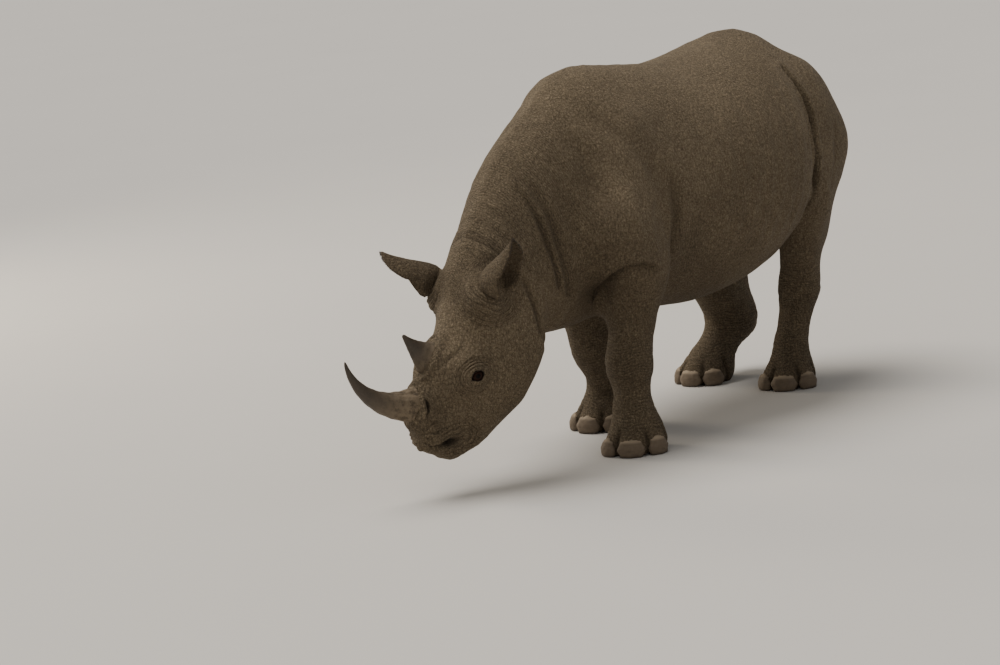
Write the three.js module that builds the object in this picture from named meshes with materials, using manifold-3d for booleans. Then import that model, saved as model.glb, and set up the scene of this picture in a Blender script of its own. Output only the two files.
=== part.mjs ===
// Black rhinoceros, life size, standing with its head lowered to drink.
// Millimetres, +Z up. It faces -Y, its left side is +X, and its four soles rest on Z = 0.
// One smooth body is described as a field (below zero inside), netted with triangles piece by
// piece, and parted where a person would name its parts. Horns, eyes, ears and nails are added.

import * as THREE from 'three';
import { mergeVertices } from 'three/addons/utils/BufferGeometryUtils.js';
import Module from 'manifold-3d';

const wasm = await Module();
wasm.setup();

// ---------------------------------------------------------------- driving dimensions

const GAP = 0.3; // left between two pieces that touch
const WELD = 0.02; // points closer than this become one
const SOFT = 70; // how widely the body's masses flow into each other
const FLANK_SOFT = 45; // the same where the thigh meets the belly
const SHOULDER_SOFT = 110; // the same over the shoulder
const SOFT_LEG = 50; // the same along a leg

// The barrel from chest to rump: place along Y, back line, belly line and half width.
const TRUNK = [
  { y: -850, top: 1300, bottom: 560, half: 145 },
  { y: -732, top: 1414, bottom: 536, half: 222 },
  { y: -582, top: 1492, bottom: 524, half: 295 },
  { y: -322, top: 1476, bottom: 500, half: 375 },
  { y: -62, top: 1447, bottom: 464, half: 445 },
  { y: 227, top: 1456, bottom: 490, half: 482 },
  { y: 427, top: 1480, bottom: 572, half: 456 },
  { y: 540, top: 1502, bottom: 662, half: 380 },
  { y: 647, top: 1496, bottom: 716, half: 296 },
  { y: 828, top: 1396, bottom: 716, half: 292 },
  { y: 930, top: 1302, bottom: 790, half: 252 },
];
const TRUNK_CAP = 75; // how far the barrel rounds off past its first and last station
const TRUNK_WIDEST = 0.44; // height of the widest line, as a share of the barrel's depth
const BACK_ROUND = 1.9; // roundness of the back: 2 is an ellipse, less is more ridged
const BELLY_ROUND = 2.15;

// The neck, from between the shoulders to the poll: centre, half width and half depth.
const NECK = [
  { at: [0, -572, 1024], wide: 240, deep: 417 },
  { at: [0, -793, 930], wide: 198, deep: 379 },
  { at: [0, -976, 850], wide: 166, deep: 309 },
  { at: [8, -1128, 800], wide: 146, deep: 224 },
];

// Legs: the middle and radius of each joint, for a leg on the animal's left (+X).
const FORE_LEFT = {
  elbow: [256, -594, 730],
  carpus: [216, -642, 344],
  fetlock: [218, -648, 150],
  foot: [234, -654, 0],
  toes: 24,
};
const FORE_RIGHT = {
  elbow: [222, -425, 733],
  carpus: [168, -330, 338],
  fetlock: [158, -284, 150],
  foot: [168, -288, 0],
  toes: 2,
};
const HIND_LEFT = {
  knee: [248, 636, 780],
  hock: [186, 664, 392],
  fetlock: [166, 590, 160],
  foot: [174, 564, 0],
  toes: 20,
};
const HIND_RIGHT = {
  knee: [262, 532, 640],
  hock: [236, 771, 242],
  fetlock: [248, 676, 150],
  foot: [264, 600, 0],
  toes: 5,
};
const FORE_RADIUS = { elbow: 117, carpus: 80, cannon: 68, fetlock: 73, foot: 124 };
const HIND_RADIUS = { knee: 136, shank: 0.66, hock: 78, cannon: 62, fetlock: 68, foot: 114 };
const BENT_RADIUS = { ...HIND_RADIUS, shank: 0.86, hock: 97 }; // the hind leg that stands bent
const FOOT_HEIGHT = 70; // height of the widest part of a foot's pad
const TOES = [-1, 0, 1]; // three toes, as shares of their spread
const TOE_ROUND = 46;

// The head is modelled level, facing -Y, its origin at the poll, and then lowered as a group.
const HEAD_PLACE = [12, -1190, 820];
const HEAD_PITCH = 58.5; // nose down
const HEAD_YAW = -15.3; // towards the animal's right
const HEAD_ROLL = -4.8;
const SKULL = [
  { y: -728, top: 42, bottom: -100, half: 42 },
  { y: -690, top: 86, bottom: -152, half: 58 },
  { y: -640, top: 114, bottom: -198, half: 73 },
  { y: -580, top: 138, bottom: -228, half: 90 },
  { y: -500, top: 132, bottom: -262, half: 120 },
  { y: -425, top: 124, bottom: -292, half: 152 },
  { y: -320, top: 116, bottom: -298, half: 159 },
  { y: -200, top: 138, bottom: -276, half: 157 },
  { y: -80, top: 152, bottom: -228, half: 145 },
  { y: 60, top: 132, bottom: -184, half: 128 },
];
const SKULL_CAP = 18;
const SKULL_WIDEST = 0.56;

const EYE = { from: [0, -432, -2], out: [1, 0, 0], long: [0, -0.96, 0.28], radius: 30, sunk: 15 };
const LID = { long: 31, high: 25, thick: 36, sunk: 2 };
const SOCKET = { long: 50, high: 42, thick: 40, sunk: 4 };
const NOSTRIL = { from: [0, -618, 74], out: [0.88, 0, 0.47], long: [0, 0.93, 0.37] };
const NOSTRIL_PIT = [31, 10, 22];
const NOSE_WING = { long: 40, high: 18, thick: 34, sunk: 4 };
const RING_ROUND = 0.2; // thickness of a fold of skin, as a share of its ring
const MOUTH = { corner: [-662, -80], front: [-735, 22], open: 5, depth: 18 };
const LIP = { apart: 15, radius: 14, sunk: 11 };

const HORN_FRONT = { y: -606, z: 128, length: 372, radius: 73, narrow: 0.86, lean: -34, bend: 86 };
const HORN_REAR = { y: -420, z: 128, length: 150, radius: 93, narrow: 0.62, lean: 5, bend: 20 };

const EAR = { length: 254, tube: 46, cup: 68, widest: 0.29, wall: 9, rim: 5, flare: 0.28 };
const EAR_BEND = { rise: 0.9, lean: 20 }; // the rolled back of an ear bows out, its tip leans back
const EAR_LEFT = { at: [148, -103, 69], tip: [0.73, 0.62, 0.29], open: [0.6, -0.38, -0.7] };
const EAR_RIGHT = { at: [-158, -104, 96], tip: [-0.51, 0.07, 0.86], open: [-0.18, -0.98, -0.02] };

const NAIL = { wide: 51, thick: 24, tall: 40, up: 29, spread: 50 };

// The fleshy part of the tail, from inside the rump down.
const TAIL = [
  { at: [0, 885, 1262], radius: 62 },
  { at: [0, 975, 1222], radius: 50 },
  { at: [0, 1034, 1130], radius: 38 },
  { at: [2, 1058, 1010], radius: 30 },
  { at: [5, 1062, 900], radius: 26 },
  { at: [8, 1056, 812], radius: 20 },
  { at: [9, 1053, 782], radius: 9 },
];
const LOCKS = { count: 12, from: 0.58, to: 0.93, length: 150, wide: 17, thick: 5, spread: 0.42, bend: 0.5 };

// Cell sizes of the nets, across, along and up.
const BODY_CELL = [76, 90, 70];
const LEG_CELLS = {
  leg_front_left: [44, 44, 56],
  leg_front_right: [44, 44, 56],
  leg_hind_left: [46, 44, 55],
  leg_hind_right: [44, 44, 56],
};

// ---------------------------------------------------------------- numbers and curves

const degrees = (angle) => (angle * Math.PI) / 180;
const clamp = (value, low, high) => Math.min(Math.max(value, low), high);
const mix = (a, b, t) => a + (b - a) * t;

function seededRandom(seed) {
  let state = seed * 7919;
  return () => {
    state = (state * 16807) % 2147483647;
    return state / 2147483647;
  };
}

function smoothMin(a, b, soft) {
  const h = Math.max(soft - Math.abs(a - b), 0) / soft;
  return Math.min(a, b) - (h * h * soft) / 4;
}

// A smooth curve through one named value of a list of stations ordered by their y.
function profile(stations, key) {
  const keys = stations.map((s) => s.y);
  const values = stations.map((s) => s[key]);
  const slope = (i) => {
    const before = Math.max(i - 1, 0);
    const after = Math.min(i + 1, keys.length - 1);
    return (values[after] - values[before]) / (keys[after] - keys[before]);
  };
  const slopes = keys.map((_, i) => slope(i));
  return (y) => {
    const place = clamp(y, keys[0], keys[keys.length - 1]);
    let i = 0;
    while (i < keys.length - 2 && place > keys[i + 1]) {
      i += 1;
    }
    const span = keys[i + 1] - keys[i];
    const t = (place - keys[i]) / span;
    const bend = t * t * (3 - 2 * t);
    const leave = t * (1 - t) * (1 - t) * span * slopes[i];
    const arrive = t * t * (t - 1) * span * slopes[i + 1];
    return mix(values[i], values[i + 1], bend) + leave + arrive;
  };
}

// ---------------------------------------------------------------- fields

// A long rounded mass along Y, made from stations of its top, bottom and half width.
function barrel(stations, { cap, widest, above, below }) {
  const first = stations[0].y;
  const last = stations[stations.length - 1].y;
  const top = profile(stations, 'top');
  const bottom = profile(stations, 'bottom');
  const half = profile(stations, 'half');
  return (x, y, z) => {
    const high = top(y);
    const low = bottom(y);
    const middle = mix(low, high, widest);
    const reach = z > middle ? high - middle : middle - low;
    const round = z > middle ? above : below;
    const width = half(y);
    const across = Math.abs(x) / width;
    const upward = Math.abs(z - middle) / reach;
    const ring = (across ** round + upward ** round) ** (1 / round);
    const past = Math.max(first - y, y - last, 0) / cap;
    return (Math.hypot(ring, past) - 1) * Math.min(width, reach);
  };
}

// A mass with oval sections between two stations, rounded at both ends.
function swell(a, b) {
  const axis = b.at.map((v, i) => v - a.at[i]);
  const length2 = axis[0] ** 2 + axis[1] ** 2 + axis[2] ** 2;
  return (x, y, z) => {
    const dx = x - a.at[0];
    const dy = y - a.at[1];
    const dz = z - a.at[2];
    const t = clamp((dx * axis[0] + dy * axis[1] + dz * axis[2]) / length2, 0, 1);
    const across = dx - t * axis[0];
    const rest = Math.hypot(dy - t * axis[1], dz - t * axis[2]);
    const wide = mix(a.wide, b.wide, t);
    const deep = mix(a.deep, b.deep, t);
    return (Math.hypot(across / wide, rest / deep) - 1) * Math.min(wide, deep);
  };
}

// A rounded cone between two balls.
function cone(a, b, radiusA, radiusB) {
  const ax = b[0] - a[0];
  const ay = b[1] - a[1];
  const az = b[2] - a[2];
  const length2 = ax * ax + ay * ay + az * az;
  const fall = radiusA - radiusB;
  const rest2 = length2 - fall * fall;
  return (x, y, z) => {
    const dx = x - a[0];
    const dy = y - a[1];
    const dz = z - a[2];
    const along = dx * ax + dy * ay + dz * az;
    const beyond = along - length2;
    const cx = dx * length2 - ax * along;
    const cy = dy * length2 - ay * along;
    const cz = dz * length2 - az * along;
    const side2 = cx * cx + cy * cy + cz * cz;
    const start2 = along * along * length2;
    const end2 = beyond * beyond * length2;
    const limit = Math.sign(fall) * fall * fall * side2;
    if (Math.sign(beyond) * rest2 * end2 > limit) {
      return Math.sqrt(side2 + end2) / length2 - radiusB;
    }
    if (Math.sign(along) * rest2 * start2 < limit) {
      return Math.sqrt(side2 + start2) / length2 - radiusA;
    }
    return (Math.sqrt((side2 * rest2) / length2) + along * fall) / length2 - radiusA;
  };
}

// A ball stretched along X, Y and Z, and turned about X by a tilt in degrees.
function egg([cx, cy, cz], [rx, ry, rz], tilt = 0) {
  const cos = Math.cos(degrees(tilt));
  const sin = Math.sin(degrees(tilt));
  const least = Math.min(rx, ry, rz);
  return (x, y, z) => {
    const dy = (y - cy) * cos + (z - cz) * sin;
    const dz = (z - cz) * cos - (y - cy) * sin;
    return (Math.hypot((x - cx) / rx, dy / ry, dz / rz) - 1) * least;
  };
}

function join(soft, shapes) {
  return (x, y, z) => {
    let nearest = Infinity;
    for (const shape of shapes) {
      nearest = smoothMin(nearest, shape(x, y, z), soft);
    }
    return nearest;
  };
}

const mirrored = (shape) => (x, y, z) => shape(Math.abs(x), y, z);

// ---------------------------------------------------------------- the body's field

function limbSide(joints, side) {
  const turn = (at) => (Array.isArray(at) ? [at[0] * side, at[1], at[2]] : at * side);
  return Object.fromEntries(Object.entries(joints).map(([name, at]) => [name, turn(at)]));
}

const LEGS = {
  leg_front_left: { ...limbSide(FORE_LEFT, 1), side: 1, radius: FORE_RADIUS },
  leg_front_right: { ...limbSide(FORE_RIGHT, -1), side: -1, radius: FORE_RADIUS },
  leg_hind_left: { ...limbSide(HIND_LEFT, 1), side: 1, radius: HIND_RADIUS },
  leg_hind_right: { ...limbSide(HIND_RIGHT, -1), side: -1, radius: BENT_RADIUS },
};

function footShapes({ fetlock, foot, radius, toes }) {
  const pad = [foot[0], foot[1] - 12, FOOT_HEIGHT - 40];
  const ankle = foot.map((value, i) => mix(value, fetlock[i], 0.25));
  ankle[2] = FOOT_HEIGHT + 20;
  const toeShapes = TOES.map((turn) => {
    const angle = degrees(toes + turn * NAIL.spread);
    const reach = radius.foot * 0.6;
    const at = [pad[0] + Math.sin(angle) * reach, pad[1] - Math.cos(angle) * reach, 26];
    return egg(at, [TOE_ROUND, TOE_ROUND, 52]);
  });
  return [
    cone(fetlock, ankle, radius.fetlock, radius.foot * 0.77),
    egg(pad, [radius.foot * 0.95, radius.foot, FOOT_HEIGHT * 1.2]),
    join(12, toeShapes),
  ];
}

function foreLegField(leg) {
  const { elbow, carpus, fetlock, radius, side } = leg;
  const blade = cone([150 * side, -530, 1200], [205 * side, -665, 905], 150, 158);
  const upperArm = cone([210 * side, -675, 885], elbow, 155, 114);
  const column = join(SOFT_LEG, [
    cone(elbow, carpus, radius.elbow, radius.carpus),
    cone(carpus, fetlock, radius.cannon + 6, radius.cannon),
    egg([carpus[0], carpus[1] - 12, carpus[2]], [radius.carpus, radius.carpus, 92]),
    ...footShapes(leg),
  ]);
  return join(SHOULDER_SOFT, [blade, upperArm, column]);
}

function hindLegField(leg) {
  const { knee, hock, fetlock, radius, side } = leg;
  const hip = egg([146 * side, 700, 1152], [198, 264, 222]);
  const thigh = cone([170 * side, 705, 1000], knee, 196, radius.knee);
  const ham = [192 * side, 738, 640];
  const buttock = cone([170 * side, 872, 1004], ham, 166, 90);
  const heel = [hock[0], hock[1] + 34, hock[2] + 10];
  const column = join(SOFT_LEG, [
    cone(knee, hock, radius.knee * radius.shank, radius.hock),
    cone(hock, fetlock, radius.hock, radius.cannon),
    cone(heel, ham, radius.hock * 0.62, 76),
    ...footShapes(leg),
  ]);
  return join(SOFT, [hip, thigh, buttock, column]);
}

const headFrame = new THREE.Matrix4().compose(
  new THREE.Vector3(...HEAD_PLACE),
  new THREE.Quaternion().setFromEuler(
    new THREE.Euler(degrees(HEAD_PITCH), degrees(HEAD_ROLL), degrees(HEAD_YAW), 'ZXY'),
  ),
  new THREE.Vector3(1, 1, 1),
);
const headInverse = headFrame.clone().invert();

// The skull and its flesh, in the head's own level frame.
const skullShapes = join(30, [
  barrel(SKULL, { cap: SKULL_CAP, widest: SKULL_WIDEST, above: 2.2, below: 2.8 }),
  mirrored(egg([112, -424, 8], [50, 80, 62], 8)), // brow and eye socket
  mirrored(egg([108, -255, -140], [58, 150, 130])), // chewing muscle
  mirrored(egg([124, -142, 70], [76, 92, 68], 12)), // swollen root of the ear
  egg([0, -604, 98], [66, 80, 52], 20), // nose boss
  egg([0, -424, 104], [80, 92, 46]), // forehead boss
  mirrored(egg([32, -682, 26], [34, 44, 52], 30)), // upper lip
  egg([0, -718, 12], [30, 28, 34]), // lip finger
  egg([0, -694, -72], [66, 50, 58]), // lower lip and chin
]);

const frontShapes = join(SOFT, [
  barrel(TRUNK, {
    cap: TRUNK_CAP,
    widest: TRUNK_WIDEST,
    above: BACK_ROUND,
    below: BELLY_ROUND,
  }),
  ...NECK.slice(1).map((station, i) => swell(NECK[i], station)),
  foreLegField(LEGS.leg_front_left),
  foreLegField(LEGS.leg_front_right),
]);
const bodyShapes = join(FLANK_SOFT, [
  frontShapes,
  join(SOFT, [hindLegField(LEGS.leg_hind_left), egg(TAIL[0].at, [88, 90, 80])]),
  hindLegField(LEGS.leg_hind_right),
]);

const probe = new THREE.Vector3();
function rhinoField(x, y, z) {
  const body = bodyShapes(x, y, z);
  probe.set(x, y, z).applyMatrix4(headInverse);
  const skull = skullShapes(probe.x, probe.y, probe.z);
  return smoothMin(body, skull, SOFT);
}

// ---------------------------------------------------------------- nets and solids

// Grid lines from the first stop on, each stop giving where it ends and its step.
function gridLines(start, ...stops) {
  const lines = [start];
  for (const [end, step] of stops) {
    const from = lines[lines.length - 1];
    const count = Math.max(1, Math.round((end - from) / step));
    for (let i = 1; i <= count; i += 1) {
      lines.push(mix(from, end, i / count));
    }
  }
  return lines;
}

const CORNERS = [0, 1, 2, 3, 4, 5, 6, 7].map((n) => [n & 1, (n >> 1) & 1, (n >> 2) & 1]);
const EDGES = [];
for (let a = 0; a < 8; a += 1) {
  for (const bit of [1, 2, 4]) {
    if (!(a & bit)) {
      EDGES.push([a, a | bit]);
    }
  }
}

// Field values on the grid, with its border counted as outside so that the net closes.
function sampleGrid(field, frame, [gx, gy, gz]) {
  const values = new Float64Array(gx.length * gy.length * gz.length);
  const point = new THREE.Vector3();
  let n = 0;
  for (let k = 0; k < gz.length; k += 1) {
    for (let j = 0; j < gy.length; j += 1) {
      for (let i = 0; i < gx.length; i += 1) {
        const inner = i % (gx.length - 1) && j % (gy.length - 1) && k % (gz.length - 1);
        point.set(gx[i], gy[j], gz[k]).applyMatrix4(frame);
        const value = field(point.x, point.y, point.z);
        values[n] = inner ? value : Math.max(value, 1);
        n += 1;
      }
    }
  }
  return values;
}

// Draws a vertex onto the surface along the field's slope, by less than half a cell.
function settle(point, field, frame, reach) {
  const step = 1;
  const at = (dx, dy, dz) => {
    const p = new THREE.Vector3(point.x + dx, point.y + dy, point.z + dz).applyMatrix4(frame);
    return field(p.x, p.y, p.z);
  };
  const slope = new THREE.Vector3(
    at(step, 0, 0) - at(-step, 0, 0),
    at(0, step, 0) - at(0, -step, 0),
    at(0, 0, step) - at(0, 0, -step),
  ).divideScalar(2 * step);
  const move = clamp(at(0, 0, 0) / Math.max(slope.length(), 0.2), -reach, reach);
  point.addScaledVector(slope.normalize(), -move);
}

// A closed net of triangles over the surface of a field, within a grid of a frame.
function netOver(field, frame, grid) {
  const [gx, gy, gz] = grid;
  const [nx, ny, nz] = grid.map((lines) => lines.length);
  const values = sampleGrid(field, frame, grid);
  const sample = (i, j, k) => values[(k * ny + j) * nx + i];
  const points = [];
  const cellVertex = new Map();
  const cellKey = (i, j, k) => (k * ny + j) * nx + i;
  for (let k = 0; k < nz - 1; k += 1) {
    for (let j = 0; j < ny - 1; j += 1) {
      for (let i = 0; i < nx - 1; i += 1) {
        const corner = CORNERS.map(([a, b, c]) => sample(i + a, j + b, k + c));
        const sum = new THREE.Vector3();
        let crossings = 0;
        for (const [a, b] of EDGES) {
          if (corner[a] < 0 !== corner[b] < 0) {
            const t = corner[a] / (corner[a] - corner[b]);
            const [p, q] = [CORNERS[a], CORNERS[b]];
            sum.x += mix(gx[i + p[0]], gx[i + q[0]], t);
            sum.y += mix(gy[j + p[1]], gy[j + q[1]], t);
            sum.z += mix(gz[k + p[2]], gz[k + q[2]], t);
            crossings += 1;
          }
        }
        if (crossings) {
          sum.divideScalar(crossings);
          const border = !i || !j || !k || i === nx - 2 || j === ny - 2 || k === nz - 2;
          if (!border) {
            settle(sum, field, frame, (gx[i + 1] - gx[i]) * 0.3);
          }
          cellVertex.set(cellKey(i, j, k), points.length);
          points.push(sum);
        }
      }
    }
  }
  const faces = [];
  const addQuad = (a, b, c, d, flip) => {
    const ring = (flip ? [a, d, c, b] : [a, b, c, d]).map((key) => cellVertex.get(key));
    const [p, q, r, s] = ring.map((index) => points[index]);
    if (p.distanceToSquared(r) < q.distanceToSquared(s)) {
      faces.push(ring[0], ring[1], ring[2], ring[0], ring[2], ring[3]);
    } else {
      faces.push(ring[0], ring[1], ring[3], ring[1], ring[2], ring[3]);
    }
  };
  for (let k = 1; k < nz - 1; k += 1) {
    for (let j = 1; j < ny - 1; j += 1) {
      for (let i = 1; i < nx - 1; i += 1) {
        const here = sample(i, j, k) < 0;
        const key = (a, b, c) => cellKey(i - a, j - b, k - c);
        if (here !== sample(i + 1, j, k) < 0) {
          addQuad(key(0, 1, 1), key(0, 0, 1), key(0, 0, 0), key(0, 1, 0), !here);
        }
        if (here !== sample(i, j + 1, k) < 0) {
          addQuad(key(1, 0, 1), key(1, 0, 0), key(0, 0, 0), key(0, 0, 1), !here);
        }
        if (here !== sample(i, j, k + 1) < 0) {
          addQuad(key(1, 1, 0), key(0, 1, 0), key(0, 0, 0), key(1, 0, 0), !here);
        }
      }
    }
  }
  addBorderQuads(addQuad, sample, cellKey, [nx, ny, nz]);
  return { points, faces };
}

// Edges that start on the grid's low border, where the loop above doesn't reach.
function addBorderQuads(addQuad, sample, cellKey, [nx, ny, nz]) {
  for (let k = 1; k < nz - 1; k += 1) {
    for (let j = 1; j < ny - 1; j += 1) {
      if (sample(1, j, k) < 0) {
        const key = (b, c) => cellKey(0, j - b, k - c);
        addQuad(key(1, 1), key(0, 1), key(0, 0), key(1, 0), true);
      }
    }
  }
  for (let k = 1; k < nz - 1; k += 1) {
    for (let i = 1; i < nx - 1; i += 1) {
      if (sample(i, 1, k) < 0) {
        const key = (a, c) => cellKey(i - a, 0, k - c);
        addQuad(key(1, 1), key(1, 0), key(0, 0), key(0, 1), true);
      }
    }
  }
  for (let j = 1; j < ny - 1; j += 1) {
    for (let i = 1; i < nx - 1; i += 1) {
      if (sample(i, j, 1) < 0) {
        const key = (a, b) => cellKey(i - a, j - b, 0);
        addQuad(key(1, 1), key(0, 1), key(0, 0), key(1, 0), true);
      }
    }
  }
}

function solidOf({ points, faces }) {
  const vertProperties = new Float32Array(points.flatMap((p) => [p.x, p.y, p.z]));
  const triVerts = new Uint32Array(faces);
  return new wasm.Manifold(new wasm.Mesh({ numProp: 3, vertProperties, triVerts }));
}

function solidFromGeometry(geometry, matrix = new THREE.Matrix4()) {
  const bare = geometry.clone();
  bare.deleteAttribute('normal');
  bare.deleteAttribute('uv');
  bare.applyMatrix4(matrix);
  const merged = mergeVertices(bare, 1e-4);
  const mesh = new wasm.Mesh({
    numProp: 3,
    vertProperties: new Float32Array(merged.attributes.position.array),
    triVerts: new Uint32Array(merged.index.array),
  });
  return new wasm.Manifold(mesh);
}

function geometryOf(solid) {
  const mesh = solid.getMesh();
  const geometry = new THREE.BufferGeometry();
  geometry.setAttribute('position', new THREE.BufferAttribute(mesh.vertProperties, 3));
  geometry.setIndex(new THREE.BufferAttribute(mesh.triVerts, 1));
  geometry.computeVertexNormals();
  return geometry;
}

// The solid with points closer than a weld's width made one, which drops sliver triangles.
function welded(solid) {
  const merged = mergeVertices(geometryOf(solid).deleteAttribute('normal'), WELD);
  const index = Array.from(merged.index.array);
  const faces = [];
  for (let i = 0; i < index.length; i += 3) {
    const [a, b, c] = index.slice(i, i + 3);
    if (a !== b && b !== c && c !== a) {
      faces.push(a, b, c);
    }
  }
  return new wasm.Manifold(
    new wasm.Mesh({
      numProp: 3,
      vertProperties: merged.attributes.position.array,
      triVerts: new Uint32Array(faces),
    }),
  );
}

function largest(solid) {
  const parts = solid.decompose();
  return parts.reduce((best, part) => (part.volume() > best.volume() ? part : best));
}

// The same surface moved outwards by a distance along its vertex normals.
function grown(solid, distance) {
  const geometry = geometryOf(solid);
  const { position, normal } = geometry.attributes;
  for (let i = 0; i < position.count; i += 1) {
    position.setXYZ(
      i,
      position.getX(i) + normal.getX(i) * distance,
      position.getY(i) + normal.getY(i) * distance,
      position.getZ(i) + normal.getZ(i) * distance,
    );
  }
  return solidFromGeometry(geometry);
}

// A box between two corners of a frame, wider all round by a margin.
function block({ low, high, frame = new THREE.Matrix4() }, margin) {
  const size = high.map((v, i) => v - low[i] + 2 * margin);
  const middle = high.map((v, i) => (v + low[i]) / 2);
  const place = frame.clone().multiply(new THREE.Matrix4().makeTranslation(...middle));
  return solidFromGeometry(new THREE.BoxGeometry(...size), place);
}

const within = (solid, region) => largest(solid.intersect(block(region, -GAP / 2)));
const without = (solid, region) => solid.subtract(block(region, GAP / 2));

// ---------------------------------------------------------------- regions of the body

const WORLD = new THREE.Matrix4();
const FLOOR_CUT = { low: [-2000, -3000, -500], high: [2000, 3000, -GAP / 2] };
const HEAD_REGION = { low: [-400, -900, -345], high: [400, 25, 500], frame: headFrame };
const HEAD_REGION_LOCAL = { ...HEAD_REGION, frame: WORLD };
const NECK_REGION = { low: [-900, -2500, -100], high: [900, -805, 1900] };

// A box round a leg, along the line from its foot to its upper joint.
function legRegion({ foot, side }, upper, halfX, halfY) {
  const axis = new THREE.Vector3(0, upper[1] - foot[1], upper[2]).normalize();
  const turn = new THREE.Quaternion().setFromUnitVectors(new THREE.Vector3(0, 0, 1), axis);
  const frame = new THREE.Matrix4().compose(
    new THREE.Vector3(...upper),
    turn,
    new THREE.Vector3(1, 1, 1),
  );
  const inner = Math.min(halfX, Math.abs(upper[0]) - 25);
  const low = side > 0 ? -inner : -halfX;
  const high = side > 0 ? halfX : inner;
  return { low: [low, -halfY, -1200], high: [high, halfY, 0], frame };
}

const LEG_REGIONS = {
  leg_front_left: legRegion(LEGS.leg_front_left, [250, -580, 705], 260, 215),
  leg_front_right: legRegion(LEGS.leg_front_right, [-240, -430, 700], 250, 215),
  leg_hind_left: legRegion(LEGS.leg_hind_left, [250, 640, 705], 260, 290),
  leg_hind_right: legRegion(LEGS.leg_hind_right, [-255, 665, 690], 260, 300),
};

// ---------------------------------------------------------------- pieces of flesh

function netSolid(low, high, cell) {
  const grid = low.map((start, i) => gridLines(start, [high[i], cell[i]]));
  return solidOf(netOver(rhinoField, WORLD, grid));
}

const bodySolid = netSolid([-650, -1500, 350], [650, 1150, 1650], BODY_CELL);

function makeTorso() {
  let solid = bodySolid;
  for (const region of Object.values(LEG_REGIONS)) {
    solid = without(solid, region);
  }
  return largest(without(solid, NECK_REGION));
}

function makeNeck() {
  return largest(without(within(bodySolid, NECK_REGION), HEAD_REGION));
}

function makeHead() {
  const grid = [
    gridLines(-230, [230, 25]),
    gridLines(-800, [-590, 23], [-475, 29], [-390, 24], [-130, 42], [-30, 28], [80, 38]),
    gridLines(-390, [-120, 36], [50, 25], [230, 28]),
  ];
  const net = within(solidOf(netOver(rhinoField, headFrame, grid)), HEAD_REGION_LOCAL);
  const folds = [lipRoll(1), lipRoll(-1)];
  const cuts = [mouthGroove()];
  for (const side of [1, -1]) {
    folds.push(faceRing(faceFrame(EYE, side), SOCKET), faceRing(faceFrame(EYE, side), LID));
    folds.push(faceRing(faceFrame(NOSTRIL, side), NOSE_WING));
    cuts.push(eyeBall(side, GAP), nostrilPit(side));
  }
  const solid = folds.reduce((rest, fold) => rest.add(fold), net);
  return largest(cuts.reduce((rest, cut) => rest.subtract(cut), solid));
}

// The outermost point of the skull along a ray from inside it.
function skullPoint(from, out) {
  const start = new THREE.Vector3(...from);
  let near = 0;
  let far = 400;
  for (let i = 0; i < 24; i += 1) {
    const half = (near + far) / 2;
    const at = start.clone().addScaledVector(out, half);
    if (skullShapes(at.x, at.y, at.z) < 0) {
      near = half;
    } else {
      far = half;
    }
  }
  return start.addScaledVector(out, near);
}

// The direction straight out of the skull's skin at a point on it.
function skullNormal({ x, y, z }) {
  const step = 4;
  return new THREE.Vector3(
    skullShapes(x + step, y, z) - skullShapes(x - step, y, z),
    skullShapes(x, y + step, z) - skullShapes(x, y - step, z),
    skullShapes(x, y, z + step) - skullShapes(x, y, z - step),
  ).normalize();
}

// A frame on one side of the face: Z out of the skin, X along the long way of the feature.
function faceFrame({ from, out, long }, side) {
  const ray = new THREE.Vector3(out[0] * side, out[1], out[2]).normalize();
  const at = skullPoint(from, ray);
  const z = skullNormal(at);
  const x = new THREE.Vector3(...long).projectOnPlane(z).normalize();
  return new THREE.Matrix4().makeBasis(x, z.clone().cross(x), z).setPosition(at);
}

// A fold of skin in a ring, half sunk in the face.
function faceRing(frame, { long, high, thick, sunk }) {
  const shape = new THREE.Matrix4().makeTranslation(0, 0, -sunk);
  shape.scale(new THREE.Vector3(long, high, thick));
  const ring = new THREE.TorusGeometry(1, RING_ROUND, 5, 12);
  return solidFromGeometry(ring, frame.clone().multiply(shape));
}

function nostrilPit(side) {
  const shape = new THREE.Matrix4().makeScale(...NOSTRIL_PIT);
  const pit = new THREE.SphereGeometry(1, 10, 6);
  return solidFromGeometry(pit, faceFrame(NOSTRIL, side).multiply(shape));
}

// Rings of points round the lips from one corner of the mouth to the other, each made from
// the lip's place, its outward and upward directions, and how near the middle it is.
function roundLips(steps, apart, makeRing) {
  const [cornerY, cornerZ] = MOUTH.corner;
  const ahead = new THREE.Vector3(0, MOUTH.front[0] - cornerY, MOUTH.front[1] - cornerZ);
  ahead.normalize();
  const across = new THREE.Vector3(1, 0, 0);
  const up = across.clone().cross(ahead).negate();
  const rings = [];
  for (let i = 0; i <= steps; i += 1) {
    const turn = degrees(mix(-96, 96, i / steps));
    const out = across.clone().multiplyScalar(Math.sin(turn));
    out.addScaledVector(ahead, Math.cos(turn));
    const fade = Math.sin((Math.PI * clamp(i, 0.25, steps - 0.25)) / steps) ** 0.4;
    const from = new THREE.Vector3(0, cornerY, cornerZ).addScaledVector(up, apart * fade);
    rings.push(makeRing(skullPoint(from, out), out, up, fade));
  }
  return solidFromRings(rings);
}

// The wedge between the lips.
function mouthGroove() {
  return roundLips(12, 0, (at, out, up, fade) => {
    const past = at.clone().addScaledVector(out, LIP.radius);
    return [
      at.clone().addScaledVector(out, -MOUTH.depth * fade),
      past.clone().addScaledVector(up, MOUTH.open * fade),
      past.clone().addScaledVector(up, -MOUTH.open * fade),
    ];
  });
}

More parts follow.
